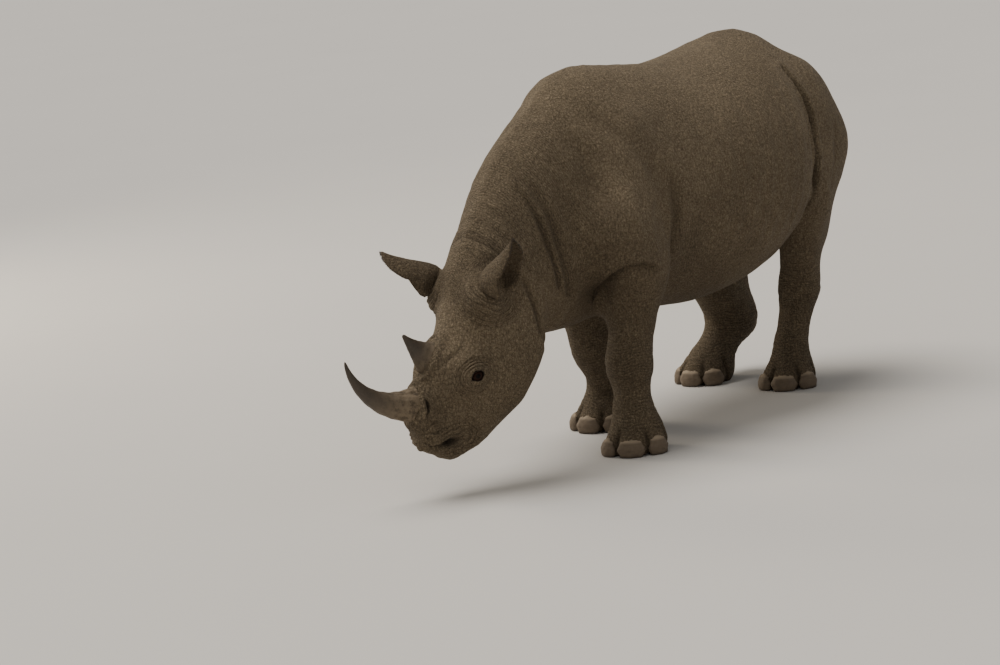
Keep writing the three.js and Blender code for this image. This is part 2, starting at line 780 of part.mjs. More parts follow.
// The rounded edge of the upper lip (1) or the lower one (-1).
function lipRoll(which) {
  const sides = 6;
  return roundLips(12, LIP.apart * which, (at, out, up, fade) => {
    const middle = at.clone().addScaledVector(out, -LIP.sunk);
    return Array.from({ length: sides }, (_, j) => {
      const turn = (-j / sides) * 2 * Math.PI;
      const point = middle.clone().addScaledVector(out, Math.cos(turn) * LIP.radius * fade);
      return point.addScaledVector(up, Math.sin(turn) * LIP.radius * fade);
    });
  });
}

function makeLeg(name) {
  const leg = LEGS[name];
  const region = LEG_REGIONS[name];
  const box = new THREE.Box3();
  for (const x of [region.low[0], region.high[0]]) {
    for (const y of [region.low[1], region.high[1]]) {
      box.expandByPoint(new THREE.Vector3(x, y, 0).applyMatrix4(region.frame));
      box.expandByPoint(new THREE.Vector3(x, y, -820).applyMatrix4(region.frame));
    }
  }
  const low = [box.min.x - 40, box.min.y - 40, -45];
  const high = [box.max.x + 40, box.max.y + 40, box.max.z + 60];
  const solid = without(within(netSolid(low, high, LEG_CELLS[name]), region), NECK_REGION);
  return largest(without(solid, FLOOR_CUT));
}

// The tail is a sweep down its stations, cut off where it leaves the rump.
function makeTail(torso) {
  const sides = 10;
  const rings = TAIL.map((station, i) => {
    const before = new THREE.Vector3(...TAIL[Math.max(i - 1, 0)].at);
    const after = new THREE.Vector3(...TAIL[Math.min(i + 1, TAIL.length - 1)].at);
    return roundRing(station.at, after.sub(before), station.radius, sides);
  });
  const bare = largest(solidFromRings(rings).subtract(grown(torso, GAP)));
  const locks = Array.from({ length: LOCKS.count }, (_, i) => tailLock(i));
  return largest(locks.reduce((rest, lock) => rest.add(lock), bare));
}

// One flat, tapered lock of bristles, rooted in the tail and bending down to its tip.
function tailLock(i) {
  const random = seededRandom(i + 1);
  const t = mix(LOCKS.from, LOCKS.to, i / (LOCKS.count - 1)) * (TAIL.length - 1);
  const k = Math.min(Math.floor(t), TAIL.length - 2);
  const [above, below] = [TAIL[k], TAIL[k + 1]];
  const root = new THREE.Vector3(...above.at).lerp(new THREE.Vector3(...below.at), t - k);
  const down = new THREE.Vector3(...below.at).sub(new THREE.Vector3(...above.at)).normalize();
  const turn = i * 2.4 + random() * 0.7;
  const side = new THREE.Vector3(Math.cos(turn), Math.sin(turn), 0);
  const flat = down.clone().cross(side).normalize();
  const length = LOCKS.length * mix(0.75, 1.1, random());
  const rings = [0, 0.5, 1].map((along) => {
    const out = LOCKS.spread * length * (along - LOCKS.bend * along * along);
    const at = root.clone().addScaledVector(down, along * length).addScaledVector(side, out + 3);
    const wide = LOCKS.wide * Math.max(1 - along ** 1.5, 0.12);
    const thick = LOCKS.thick * Math.max(1 - along, 0.2);
    const [w, h] = [flat.clone().multiplyScalar(wide), side.clone().multiplyScalar(thick)];
    return [
      at.clone().add(w),
      at.clone().sub(h),
      at.clone().sub(w),
      at.clone().add(h),
    ];
  });
  return solidFromRings(rings);
}

// ---------------------------------------------------------------- horns, eyes, ears, nails

function eyeBall(side, margin) {
  const sunk = new THREE.Matrix4().makeTranslation(0, 0, -EYE.sunk);
  const ball = new THREE.SphereGeometry(EYE.radius + margin, 12, 8);
  return solidFromGeometry(ball, faceFrame(EYE, side).multiply(sunk));
}

// A ring of points round a place, square to a direction, its first point towards +X.
function roundRing(at, along, radius, sides) {
  const across = new THREE.Vector3(1, 0, 0).projectOnPlane(along.clone().normalize()).normalize();
  const other = along.clone().normalize().cross(across);
  return Array.from({ length: sides }, (_, j) => {
    const turn = (j / sides) * 2 * Math.PI;
    const point = new THREE.Vector3(...at).addScaledVector(across, Math.cos(turn) * radius);
    return point.addScaledVector(other, Math.sin(turn) * radius);
  });
}

// A closed skin over rings of points, each ring drawn to its middle at both ends.
function solidFromRings(rings) {
  const count = rings[0].length;
  const points = rings.flat();
  const faces = [];
  for (let i = 0; i < rings.length - 1; i += 1) {
    for (let j = 0; j < count; j += 1) {
      const a = i * count + j;
      const b = i * count + ((j + 1) % count);
      faces.push(a, b, b + count, a, b + count, a + count);
    }
  }
  const middle = (ring) => {
    const sum = ring.reduce((s, p) => s.add(p), new THREE.Vector3());
    return sum.divideScalar(count);
  };
  const start = points.push(middle(rings[0])) - 1;
  const end = points.push(middle(rings[rings.length - 1])) - 1;
  const last = (rings.length - 1) * count;
  for (let j = 0; j < count; j += 1) {
    faces.push(start, (j + 1) % count, j);
    faces.push(end, last + j, last + ((j + 1) % count));
  }
  return solidOf({ points, faces });
}

// A horn that leaves the face at a lean from upright and bends back as it rises.
function makeHorn(horn, taper, head) {
  const rings = [];
  const steps = horn.length > 200 ? 11 : 6;
  const sides = 12;
  const root = 40;
  const lean = degrees(horn.lean);
  const place = new THREE.Vector3(0, horn.y - root * Math.sin(lean), horn.z - root * Math.cos(lean));
  for (let i = 0; i <= steps; i += 1) {
    const t = i / steps;
    const angle = degrees(horn.lean + horn.bend * t * t * 0.35 + horn.bend * t * 0.65);
    const along = new THREE.Vector3(0, Math.sin(angle), Math.cos(angle));
    const back = new THREE.Vector3(0, Math.cos(angle), -Math.sin(angle));
    const radius = Math.max(horn.radius * taper(t), 4);
    const ring = [];
    for (let j = 0; j < sides; j += 1) {
      const turn = (j / sides) * 2 * Math.PI;
      const side = new THREE.Vector3(Math.cos(turn) * radius * horn.narrow, 0, 0);
      ring.push(place.clone().add(side).addScaledVector(back, Math.sin(turn) * radius));
    }
    rings.push(ring);
    place.addScaledVector(along, (horn.length + root) / steps);
  }
  return largest(solidFromRings(rings).subtract(grown(head, GAP)));
}

// An ear: a rolled tube at its root that opens into a cup and ends in a point.
function earSurface(s, around, wall) {
  const opened = Math.sin(clamp(s / EAR.widest, 0, 1) * 0.5 * Math.PI);
  const closing = clamp((s - EAR.widest) / (1 - EAR.widest), 0, 1);
  const full = Math.max(mix(EAR.tube, EAR.cup, opened) * (1 - closing ** 1.94) ** 0.78, 4);
  const flare = 1 + EAR.flare * around * around * opened;
  const radius = flare * full * (1 - clamp(wall / full, 0, 0.6));
  const span = mix(160, 100, clamp(s * 2.2, 0, 1));
  const angle = degrees(around * span);
  const bow = full * EAR_BEND.rise * s - EAR_BEND.lean * s * s;
  return new THREE.Vector3(
    Math.sin(angle) * radius,
    -Math.cos(angle) * radius + bow,
    s * EAR.length,
  );
}

function earShell(rows, columns) {
  const points = [];
  const faces = [];
  const wide = 2 * (columns + 1);
  const addQuad = (a, b, c, d) => faces.push(a, b, c, a, c, d);
  for (let i = 0; i <= rows; i += 1) {
    const s = mix(0, 0.985, i / rows);
    const wall = mix(EAR.wall, EAR.rim, s);
    for (let j = 0; j <= columns; j += 1) {
      points.push(earSurface(s, mix(-1, 1, j / columns), 0));
    }
    for (let j = columns; j >= 0; j -= 1) {
      points.push(earSurface(s, mix(-0.97, 0.97, j / columns), wall));
    }
  }
  for (let i = 0; i < rows; i += 1) {
    for (let j = 0; j < wide; j += 1) {
      const next = (j + 1) % wide;
      addQuad(i * wide + j, i * wide + next, (i + 1) * wide + next, (i + 1) * wide + j);
    }
  }
  const top = rows * wide;
  for (let j = 0; j < columns; j += 1) {
    addQuad(j + 1, j, wide - 1 - j, wide - 2 - j);
    addQuad(top + j, top + j + 1, top + wide - 2 - j, top + wide - 1 - j);
  }
  return { points, faces };
}

function makeEar({ at, tip, open }, head) {
  const up = new THREE.Vector3(...tip).normalize();
  const front = new THREE.Vector3(...open).projectOnPlane(up).normalize();
  const place = new THREE.Matrix4().makeBasis(front.clone().cross(up), front, up);
  place.setPosition(...at);
  const shell = earShell(9, 7);
  shell.points.forEach((point) => point.applyMatrix4(place));
  const plug = solidFromGeometry(
    new THREE.SphereGeometry(EAR.tube * 0.98, 10, 5),
    place.clone().multiply(new THREE.Matrix4().makeScale(1, 1, 0.2)),
  );
  return largest(solidOf(shell).add(plug).subtract(grown(head, GAP)));
}

function makeNail(leg, turn, solid) {
  const { foot, radius, toes } = leg;
  const angle = degrees(toes + turn * NAIL.spread);
  const out = new THREE.Vector3(Math.sin(angle), -Math.cos(angle), 0);
  const reach = radius.foot * 1.02;
  const size = turn === 0 ? 1 : 0.82;
  const place = new THREE.Matrix4().compose(
    new THREE.Vector3(foot[0], foot[1] - 12, NAIL.up).addScaledVector(out, reach),
    new THREE.Quaternion().setFromEuler(new THREE.Euler(degrees(-14), 0, angle, 'ZXY')),
    new THREE.Vector3(NAIL.wide * size, NAIL.thick, NAIL.tall),
  );
  const plate = solidFromGeometry(new THREE.SphereGeometry(1, 8, 5), place);
  const bare = plate.subtract(grown(solid, GAP)).subtract(block(FLOOR_CUT, GAP / 2 + 3));
  return largest(bare);
}

// ---------------------------------------------------------------- colours and assembly

const skin = { color: 0x6d6053, roughness: 0.86, metalness: 0 };
const hornMaterial = { color: 0x3d3128, roughness: 0.55, metalness: 0 };
const nailMaterial = { color: 0x8b7a66, roughness: 0.6, metalness: 0 };
const eyeMaterial = { color: 0x120c09, roughness: 0.08, metalness: 0 };

function named(name, solid, material) {
  const mesh = new THREE.Mesh(geometryOf(welded(solid)), new THREE.MeshStandardMaterial(material));
  mesh.name = name;
  return mesh;
}

const rhino = new THREE.Group();
const torso = makeTorso();
rhino.add(named('torso', torso, skin));
rhino.add(named('neck', makeNeck(), skin));
rhino.add(named('tail', makeTail(torso), skin));

const NAIL_PLACES = { outer: 1, middle: 0, inner: -1 };
for (const [name, leg] of Object.entries(LEGS)) {
  const solid = makeLeg(name);
  rhino.add(named(name, solid, skin));
  for (const [place, turn] of Object.entries(NAIL_PLACES)) {
    const nail = makeNail(leg, turn * leg.side, solid);
    rhino.add(named(`${name.replace('leg', 'toenail')}_${place}`, nail, nailMaterial));
  }
}

const headGroup = new THREE.Group();
headGroup.position.set(...HEAD_PLACE);
headGroup.rotation.set(degrees(HEAD_PITCH), degrees(HEAD_ROLL), degrees(HEAD_YAW), 'ZXY');
rhino.add(headGroup);

const head = makeHead();
headGroup.add(named('head', head, skin));
headGroup.add(named('eye_left', eyeBall(1, 0), eyeMaterial));
headGroup.add(named('eye_right', eyeBall(-1, 0), eyeMaterial));
const frontTaper = (t) => (1 - t) ** 1.08 * 0.94 + 0.06;
const rearTaper = (t) => (1 - t) ** 1.25 * 0.93 + 0.07;
headGroup.add(named('horn_front', makeHorn(HORN_FRONT, frontTaper, head), hornMaterial));
headGroup.add(named('horn_rear', makeHorn(HORN_REAR, rearTaper, head), hornMaterial));
headGroup.add(named('ear_left', makeEar(EAR_LEFT, head), skin));
headGroup.add(named('ear_right', makeEar(EAR_RIGHT, head), skin));

// The origin is the middle of the whole animal's footprint, on the floor.
rhino.updateMatrixWorld(true);
const bounds = new THREE.Box3().setFromObject(rhino, true);
const centre = bounds.getCenter(new THREE.Vector3());
rhino.position.set(-centre.x, -centre.y, -bounds.min.z);

export default rhino;
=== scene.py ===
"""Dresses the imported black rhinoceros.

One wrinkled skin covers trunk, neck, head, legs, ears and tail. The eyes, horns, toenails and hair are pieces
of their own.
"""
import math
from contextlib import contextmanager

import bmesh
import bpy
import numpy as np
from bpy.props import FloatProperty, FloatVectorProperty, IntProperty, PointerProperty
from mathutils import Matrix, Vector, noise
from mathutils.bvhtree import BVHTree


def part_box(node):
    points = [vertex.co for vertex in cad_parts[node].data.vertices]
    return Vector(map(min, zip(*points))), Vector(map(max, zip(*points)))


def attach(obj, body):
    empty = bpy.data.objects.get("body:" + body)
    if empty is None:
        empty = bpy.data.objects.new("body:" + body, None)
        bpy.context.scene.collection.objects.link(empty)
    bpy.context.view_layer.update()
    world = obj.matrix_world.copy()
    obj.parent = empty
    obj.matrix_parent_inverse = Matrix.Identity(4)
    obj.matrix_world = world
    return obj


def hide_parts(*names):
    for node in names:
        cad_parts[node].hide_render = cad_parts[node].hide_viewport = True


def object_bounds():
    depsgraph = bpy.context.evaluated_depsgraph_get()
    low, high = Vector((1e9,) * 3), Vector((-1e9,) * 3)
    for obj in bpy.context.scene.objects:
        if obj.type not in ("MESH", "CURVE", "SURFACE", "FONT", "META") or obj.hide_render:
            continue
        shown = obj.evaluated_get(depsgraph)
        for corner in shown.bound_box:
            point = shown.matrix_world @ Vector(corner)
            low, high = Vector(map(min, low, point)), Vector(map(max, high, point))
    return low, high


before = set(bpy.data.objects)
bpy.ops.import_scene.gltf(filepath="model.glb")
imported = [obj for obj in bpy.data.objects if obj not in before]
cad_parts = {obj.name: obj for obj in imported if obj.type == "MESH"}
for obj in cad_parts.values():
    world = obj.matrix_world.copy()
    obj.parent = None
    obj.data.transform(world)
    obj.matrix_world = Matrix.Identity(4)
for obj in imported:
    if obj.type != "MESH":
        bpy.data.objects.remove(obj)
CAD_BOX = [list(corner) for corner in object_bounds()]

bl_info = {
    "name": "Black rhinoceros",
    "version": (1, 0, 0),
    "blender": (4, 5, 0),
    "location": "View3D > Sidebar > Rhinoceros",
    "description": "Skin, horns, eyes, nails and hair of a drinking black rhinoceros",
    "category": "Object",
}

BODY = "root"
SIDES = ("left", "right")
LEGS = ("leg_front_left", "leg_front_right", "leg_hind_left", "leg_hind_right")
FEET = ("front_left", "front_right", "hind_left", "hind_right")
TOES = ("outer", "middle", "inner")
FLESH = ("torso", "neck", "head") + LEGS
NAILS = tuple(f"toenail_{foot}_{toe}" for foot in FEET for toe in TOES)
EARS = ("ear_left", "ear_right")
EYES = ("eye_left", "eye_right")

# The animal faces -y, with its left side at +x. Its own plane y = 0 lies this far behind the frame's origin.
ORIGIN = np.array([0.0, 0.3889, 0.0])

# The head's own axes: x to its left, -y along the face, z out of the forehead. The origin is the poll.
HEAD_PLACE = np.array([0.012, -1.19, 0.82])
HEAD_PITCH, HEAD_ROLL, HEAD_YAW = 58.5, -4.8, -15.3

# Spine of the tail: x, y, z and radius.
TAIL = (
    (0, 0.8, 1.262, 0.064), (0, 0.885, 1.262, 0.062), (0, 0.948, 1.246, 0.055), (0, 0.985, 1.21, 0.048),
    (0, 1.015, 1.165, 0.041), (0, 1.036, 1.12, 0.037), (0.001, 1.05, 1.06, 0.033), (0.002, 1.058, 1.01, 0.03),
    (0.004, 1.061, 0.95, 0.028), (0.005, 1.062, 0.9, 0.026), (0.007, 1.059, 0.85, 0.022),
    (0.008, 1.056, 0.812, 0.017), (0.009, 1.053, 0.79, 0.01),
)

TAIL_FLAT = 0.86  # depth of the tail as a share of its width

EAR_LENGTH, EAR_WALL = 0.254, 0.009
# Radii of an ear at its root and cup, and where along it the cup is widest.
EAR_TUBE, EAR_CUP, EAR_WIDEST = 0.046, 0.068, 0.29
EAR_FLARE, EAR_BOW, EAR_LEAN = 0.28, 0.9, 0.02
# Root in the head's axes, then the way to the tip and the way the ear opens.
EAR_PLACES = {
    "left": ((0.148, -0.103, 0.069), (0.73, 0.62, 0.29), (0.6, -0.38, -0.7)),
    "right": ((-0.158, -0.104, 0.096), (-0.51, 0.07, 0.86), (-0.18, -0.98, -0.02)),
}

# y and z of the root, length, root radius, width share, lean and bend in degrees, and how the horn thins.
HORNS = {
    "horn_front": (-0.606, 0.128, 0.372, 0.073, 0.86, -34, 86, 1.08, 0.06),
    "horn_rear": (-0.42, 0.128, 0.15, 0.093, 0.62, 5, 20, 1.25, 0.07),
}
HORN_SUNK = 0.04  # how deep a horn starts below the skin

# Joints of each leg: elbow or knee, wrist or hock, fetlock and foot. Then the way the toes point, in degrees.
LEG_LINES = {
    "front_left": (
        ((0.256, -0.594, 0.73), (0.216, -0.642, 0.344), (0.218, -0.648, 0.15), (0.234, -0.654, 0)), 24
    ),
    "front_right": (
        ((-0.222, -0.425, 0.733), (-0.168, -0.33, 0.338), (-0.158, -0.284, 0.15), (-0.168, -0.288, 0)), -2
    ),
    "hind_left": (
        ((0.248, 0.636, 0.78), (0.186, 0.664, 0.392), (0.166, 0.59, 0.16), (0.174, 0.564, 0)), 20
    ),
    "hind_right": (
        ((-0.262, 0.532, 0.64), (-0.236, 0.771, 0.242), (-0.248, 0.676, 0.15), (-0.264, 0.6, 0)), -5
    ),
}


# ---------------------------------------------------------------- numbers

def turn(axis, angle):
    """The matrix that turns by angle degrees about x, y or z."""
    c, s = math.cos(math.radians(angle)), math.sin(math.radians(angle))
    if axis == "x":
        return np.array([[1, 0, 0], [0, c, -s], [0, s, c]])
    if axis == "y":
        return np.array([[c, 0, s], [0, 1, 0], [-s, 0, c]])
    return np.array([[c, -s, 0], [s, c, 0], [0, 0, 1]])


HEAD_TURN = turn("z", HEAD_YAW) @ turn("x", HEAD_PITCH) @ turn("y", HEAD_ROLL)


def from_head(points):
    """Points in the head's own axes, as points of the frame."""
    return np.asarray(points) @ HEAD_TURN.T + HEAD_PLACE + ORIGIN


def to_head(points):
    """Points of the frame, in the head's own axes."""
    return (np.asarray(points) - ORIGIN - HEAD_PLACE) @ HEAD_TURN


def unit(vectors):
    """Vectors of length one."""
    vectors = np.asarray(vectors, float)
    length = np.linalg.norm(vectors, axis=-1, keepdims=True)
    return vectors / np.maximum(length, 1e-9)


def lengths(vectors):
    """How long each row of an array is."""
    return np.linalg.norm(vectors, axis=1)


def ramp(low, high, x):
    """Rises smoothly from 0 at low to 1 at high. With low above high it falls."""
    t = np.clip((x - low) / (high - low), 0, 1)
    return t * t * (3 - 2 * t)


def hill(x, width):
    """One at x = 0, fading to nothing past about twice the width."""
    return np.exp(-((x / width) ** 2))


def fold(distance, width):
    """Profile of a fold line: -1 in the line, with a low swelling on both sides of it."""
    return -hill(distance, width) + 0.35 * hill(np.abs(distance) - 2.1 * width, 1.1 * width)


def near_line(points, line):
    """Distance from each point to a line through several places, and how far along it, from 0 to 1."""
    line = np.asarray(line, float)
    best = np.full(len(points), 1e9)
    along = np.zeros(len(points))
    steps = lengths(np.diff(line, axis=0))
    total = steps.sum()
    run = 0.0
    for start, end, step in zip(line[:-1], line[1:], steps):
        t = np.clip(((points - start) @ (end - start)) / step**2, 0, 1)
        distance = lengths(points - (start + t[:, None] * (end - start)))
        closer = distance < best
        best[closer] = distance[closer]
        along[closer] = (run + t[closer] * step) / total
        run += step
    return best, along


def roughness_of(points, scale, seed=0.0, octaves=3):
    """Soft noise between about -1 and 1 at each point, with features about 1 / scale across."""
    place = Vector((seed, seed * 1.7, -seed))
    return np.array([noise.fractal(Vector(p) * scale + place, 1.0, 2.0, octaves) for p in points])


# ---------------------------------------------------------------- meshes

def link(data, name):
    """A new object of that mesh, light or camera in the scene."""
    piece = bpy.data.objects.new(name, data)
    bpy.context.scene.collection.objects.link(piece)
    return piece


@contextmanager
def edited(mesh, *sources):
    """The faces of a mesh, or of several others, to be changed and then kept in the mesh."""
    shell = bmesh.new()
    for source in sources or (mesh,):
        shell.from_mesh(source)
    yield shell
    shell.to_mesh(mesh)
    shell.free()


def ring_faces(rings, sides):
    """Faces between rings of equally many points."""
    faces = []
    for start in range(0, (rings - 1) * sides, sides):
        for side in range(sides):
            a, b = start + side, start + (side + 1) % sides
            faces.append((a, b, b + sides, a + sides))
    return faces


def loops_mesh(name, loops):
    """A closed smooth mesh through rings of equally many points, with a flat cap at both ends."""
    rings, sides = len(loops), len(loops[0])
    caps = [tuple(range(sides)), tuple(range((rings - 1) * sides, rings * sides))]
    mesh = bpy.data.meshes.new(name)
    mesh.from_pydata([tuple(point) for loop in loops for point in loop], [], ring_faces(rings, sides) + caps)
    with edited(mesh) as shell:
        bmesh.ops.remove_doubles(shell, verts=shell.verts, dist=1e-6)
        bmesh.ops.recalc_face_normals(shell, faces=shell.faces)
    mesh.shade_smooth()
    return mesh


def plain_copy(name, nodes):
    """One welded mesh of several CAD nodes, whose own meshes are left as they are."""
    mesh = bpy.data.meshes.new(name)
    with edited(mesh, *(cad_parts[node].data for node in nodes)) as shell:
        bmesh.ops.remove_doubles(shell, verts=shell.verts, dist=1e-5)
    return mesh


def applied(piece):
    """Turns the result of a piece's modifiers into its own plain mesh."""
    shaped = bpy.data.meshes.new_from_object(piece.evaluated_get(bpy.context.evaluated_depsgraph_get()))
    piece.modifiers.clear()
    piece.data = shaped
    return piece


def remeshed(piece, size):
    """Gives a piece one even grid of faces, and keeps its largest closed surface."""
    modifier = piece.modifiers.new("grid", "REMESH")
    modifier.mode = "VOXEL"
    modifier.voxel_size = size
    applied(piece)
    with edited(piece.data) as shell:
        groups, seen = [], set()
        for start in shell.verts:
            if start in seen:
                continue
            seen.add(start)
            group, reach = [start], [start]
            while reach:
                for edge in reach.pop().link_edges:
                    new = [vert for vert in edge.verts if vert not in seen]
                    seen.update(new)
                    group += new
                    reach += new
            groups.append(group)
        groups.sort(key=len)
        bmesh.ops.delete(shell, geom=[v for group in groups[:-1] for v in group], context="VERTS")


def vectors_of(items, key):
    """One vector of each item, as the rows of an array."""
    flat = np.empty(len(items) * 3)
    items.foreach_get(key, flat)
    return flat.reshape(-1, 3)


def places(mesh):
    """The vertices of a mesh as an array."""
    return vectors_of(mesh.vertices, "co")


def facing(mesh):
    """The normals at the vertices of a mesh as an array."""
    return vectors_of(mesh.vertex_normals, "vector")


def place(mesh, points):
    """Moves the vertices of a mesh."""
    mesh.vertices.foreach_set("co", np.ascontiguousarray(points, np.float32).ravel())
    mesh.update()


class Net:
    """The edges of a mesh, which even out values and places over its vertices."""

    def __init__(self, mesh):
        ends = np.empty(len(mesh.edges) * 2, np.int32)
        mesh.edges.foreach_get("vertices", ends)
        self.ends = ends.reshape(-1, 2)
        self.count = len(mesh.vertices)
        both = np.concatenate([self.ends[:, 0], self.ends[:, 1]])
        self.valence = np.maximum(np.bincount(both, minlength=self.count), 1)

    def around(self, values):
        """The mean of each vertex's neighbours."""
        a, b = self.ends[:, 0], self.ends[:, 1]
        if values.ndim == 1:
            total = np.bincount(a, values[b], self.count) + np.bincount(b, values[a], self.count)
            return total / self.valence
        return np.stack([self.around(values[:, k]) for k in range(values.shape[1])], 1)

    def relaxed(self, points, rounds, weight=1.0, shrink=False):
        """Smooths places with no loss of size, or with it for shrink."""
        if np.ndim(weight):
            weight = weight[:, None]
        for _ in range(rounds):
            points = points + 0.5 * weight * (self.around(points) - points)
            if not shrink:
                points = points - 0.53 * weight * (self.around(points) - points)
        return points

    def evened(self, values, rounds):
        """Smooths a value over the surface."""
        for _ in range(rounds):
            values = 0.5 * values + 0.5 * self.around(values)
        return values


def refined(mesh, inside):
    """Halves the faces of a mesh where both ends of an edge are marked."""
    with edited(mesh) as shell:
        edges = [e for e in shell.edges if inside[e.verts[0].index] and inside[e.verts[1].index]]
        bmesh.ops.subdivide_edges(shell, edges=edges, cuts=1, use_grid_fill=True)


def write_values(mesh, name, values):
    """Keeps a number at each vertex, for the material."""
    layer = mesh.attributes.get(name) or mesh.attributes.new(name, "FLOAT", "POINT")
    layer.data.foreach_set("value", np.asarray(values, np.float32))


# ---------------------------------------------------------------- materials

class Value:
    """A number in a material. Arithmetic on it adds the nodes that work it out."""

    def __init__(self, finish, socket):
        self.finish = finish
        self.socket = socket

    def maths(self, operation, *terms):
        return self.finish.number("ShaderNodeMath", {"operation": operation}, dict(enumerate(terms)))

    def __add__(self, other):
        return self.maths("ADD", self, other)

    __radd__ = __add__

    def __sub__(self, other):
        return self.maths("SUBTRACT", self, other)

    def __rsub__(self, other):
        return self.maths("SUBTRACT", other, self)

    def __mul__(self, other):
        return self.maths("MULTIPLY", self, other)

    __rmul__ = __mul__

    def between(self, low, high):
        """0 at low and 1 at high, smoothly."""
        settings = {"interpolation_type": "SMOOTHSTEP", "clamp": True}
        span = {"Value": self, "From Min": low, "From Max": high}
        return self.finish.number("ShaderNodeMapRange", settings, span)


class Nodes:
    """A node tree that is built node by node."""

    def node(self, kind, settings=None, inputs=None):
        """Any node: its settings come first, then the values or links of its sockets."""
        made = self.tree.nodes.new(kind)
        for key, value in (settings or {}).items():
            setattr(made, key, value)
        for key, value in (inputs or {}).items():
            if isinstance(value, Value):
                value = value.socket
            if isinstance(value, bpy.types.NodeSocket):
                self.tree.links.new(value, made.inputs[key])
            else:
                made.inputs[key].default_value = value
        return made

    def result(self, kind, settings=None, inputs=None, output=0):
        """The result of a node."""
        return self.node(kind, settings, inputs).outputs[output]


class Finish(Nodes):
    """A material on the piece's own coordinates."""

    def __init__(self, name):
        self.material = bpy.data.materials.new(name)
        self.material.use_nodes = True
        self.tree = self.material.node_tree
        self.tree.nodes.clear()
        self.out = self.node("ShaderNodeOutputMaterial")
        self.coords = self.result("ShaderNodeTexCoord", output="Object")

    def number(self, kind, settings=None, inputs=None, output=0):
        """A node whose result is a number."""
        return Value(self, self.result(kind, settings, inputs, output))

    def value_at(self, name):
        """A number kept at the piece's vertices."""
        return self.number("ShaderNodeAttribute", {"attribute_name": name}, output="Fac")

    def noise(self, scale, detail=3.0, rough=0.5, coords=None):
        """Soft noise from 0 to 1."""
        inputs = {"Vector": coords or self.coords, "Scale": scale, "Detail": detail, "Roughness": rough}
        return self.number("ShaderNodeTexNoise", None, inputs)

    def warped(self, scale, amount):
        """The coordinates, bent by noise so that a pattern isn't regular."""
        cloud = {"Vector": self.coords, "Scale": scale, "Detail": 2.0}
        shift = {0: self.result("ShaderNodeTexNoise", None, cloud, "Color"), 1: (0.5, 0.5, 0.5)}
        middle = self.result("ShaderNodeVectorMath", {"operation": "SUBTRACT"}, shift)
        bend = {0: middle, 1: (amount,) * 3, 2: self.coords}
        return self.result("ShaderNodeVectorMath", {"operation": "MULTIPLY_ADD"}, bend)

    def plates(self, scale, coords):
        """Distance from the nearest line between skin plates, 0 in the line."""
        inputs = {"Vector": coords, "Scale": scale}
        return self.number("ShaderNodeTexVoronoi", {"feature": "DISTANCE_TO_EDGE"}, inputs)

    def blend(self, share, first, second):
        """A colour between two others."""
        return self.result("ShaderNodeMix", {"data_type": "RGBA"}, {0: share, 6: first, 7: second}, 2)

    def stretched(self, scale, coords=None):
        """Coordinates stretched by a factor along each axis."""
        return self.result("ShaderNodeMapping", None, {"Vector": coords or self.coords, "Scale": scale})

    def bump(self, height):
        """A normal from a height in metres."""
        return self.result("ShaderNodeBump", None, {"Height": height, "Distance": 1.0, "Strength": 1.0})

    def surface(self, **sockets):
        """Ends the material in one Principled shader."""
        named = {key.replace("_", " "): value for key, value in sockets.items()}
        shader = self.node("ShaderNodeBsdfPrincipled", None, named)
        self.tree.links.new(shader.outputs[0], self.out.inputs["Surface"])
        return self.material


def colour(value):
    """A colour property with its alpha."""
    return (*value, 1.0)


def finish(piece, material, slot, *nodes):
    """Puts the material on, hangs the piece on the body, and hides the CAD parts that it stands for."""
    piece.data.materials.clear()
    piece.data.materials.append(material)
    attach(piece, BODY)
    if nodes:
        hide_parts(*nodes)
    return piece


# ---------------------------------------------------------------- ears and tail

def ear_axes(side):
    """Root of an ear in the frame, and its width, opening and tip directions."""
    root, tip, opening = EAR_PLACES[side]
    up = unit(HEAD_TURN @ np.array(tip))
    front = HEAD_TURN @ np.array(opening)
    front = unit(front - (front @ up) * up)
    return from_head(root), np.cross(front, up), front, up


def ear_point(along, around, wall):
    """A place on the ear's wall in its own axes: along from root to tip, around from edge to edge."""
    opened = math.sin(min(along / EAR_WIDEST, 1) * math.pi / 2)
    closing = max((along - EAR_WIDEST) / (1 - EAR_WIDEST), 0)
    full = max((EAR_TUBE + (EAR_CUP - EAR_TUBE) * opened) * max(1 - closing**1.94, 0) ** 0.78, 0.004)
    radius = full * (1 + EAR_FLARE * around * around * opened) - min(wall, 0.6 * full)
    span = 160 - 60 * min(along * 2.2, 1)
    angle = math.radians(around * span)
    bow = full * EAR_BOW * along - EAR_LEAN * along**2
    return np.array([math.sin(angle) * radius, -math.cos(angle) * radius + bow, along * EAR_LENGTH])


def on_ear(side, point, shift=0.0):
    """A place of the ear's own axes, as a place of the frame."""
    root, width, front, up = ear_axes(side)
    return root + point[0] * width + point[1] * front + (point[2] + shift) * up


def ear_mesh(side, rings=54, across=30):
    """One cupped ear: an outer wall, a rounded edge and an inner wall down to its tube."""
    loops = []
    for ring in range(rings):
        t = ring / (rings - 1)
        along = -0.09 + 1.085 * (1 - (1 - t) ** 1.12)
        wall = EAR_WALL * (1 - 0.45 * max(along, 0))
        level = max(along, 0.0)
        outer = [ear_point(level, 2 * k / across - 1, 0) for k in range(across + 1)]
        inner = [ear_point(level, 0.975 * (1 - 2 * k / across), wall) for k in range(across + 1)]
        rim = [0.5 * (outer[-1] + inner[0]), 0.5 * (inner[-1] + outer[0])]
        for k, edge in enumerate(rim):
            side_way = unit(edge - 0.5 * (outer[across // 2 + (4 if k else -4)] + inner[across // 2]))
            rim[k] = edge + 0.0022 * side_way
        points = outer + [rim[0]] + inner + [rim[1]]
        loops.append([on_ear(side, point, min(along, 0.0) * EAR_LENGTH) for point in points])
    return loops_mesh("ear", loops)


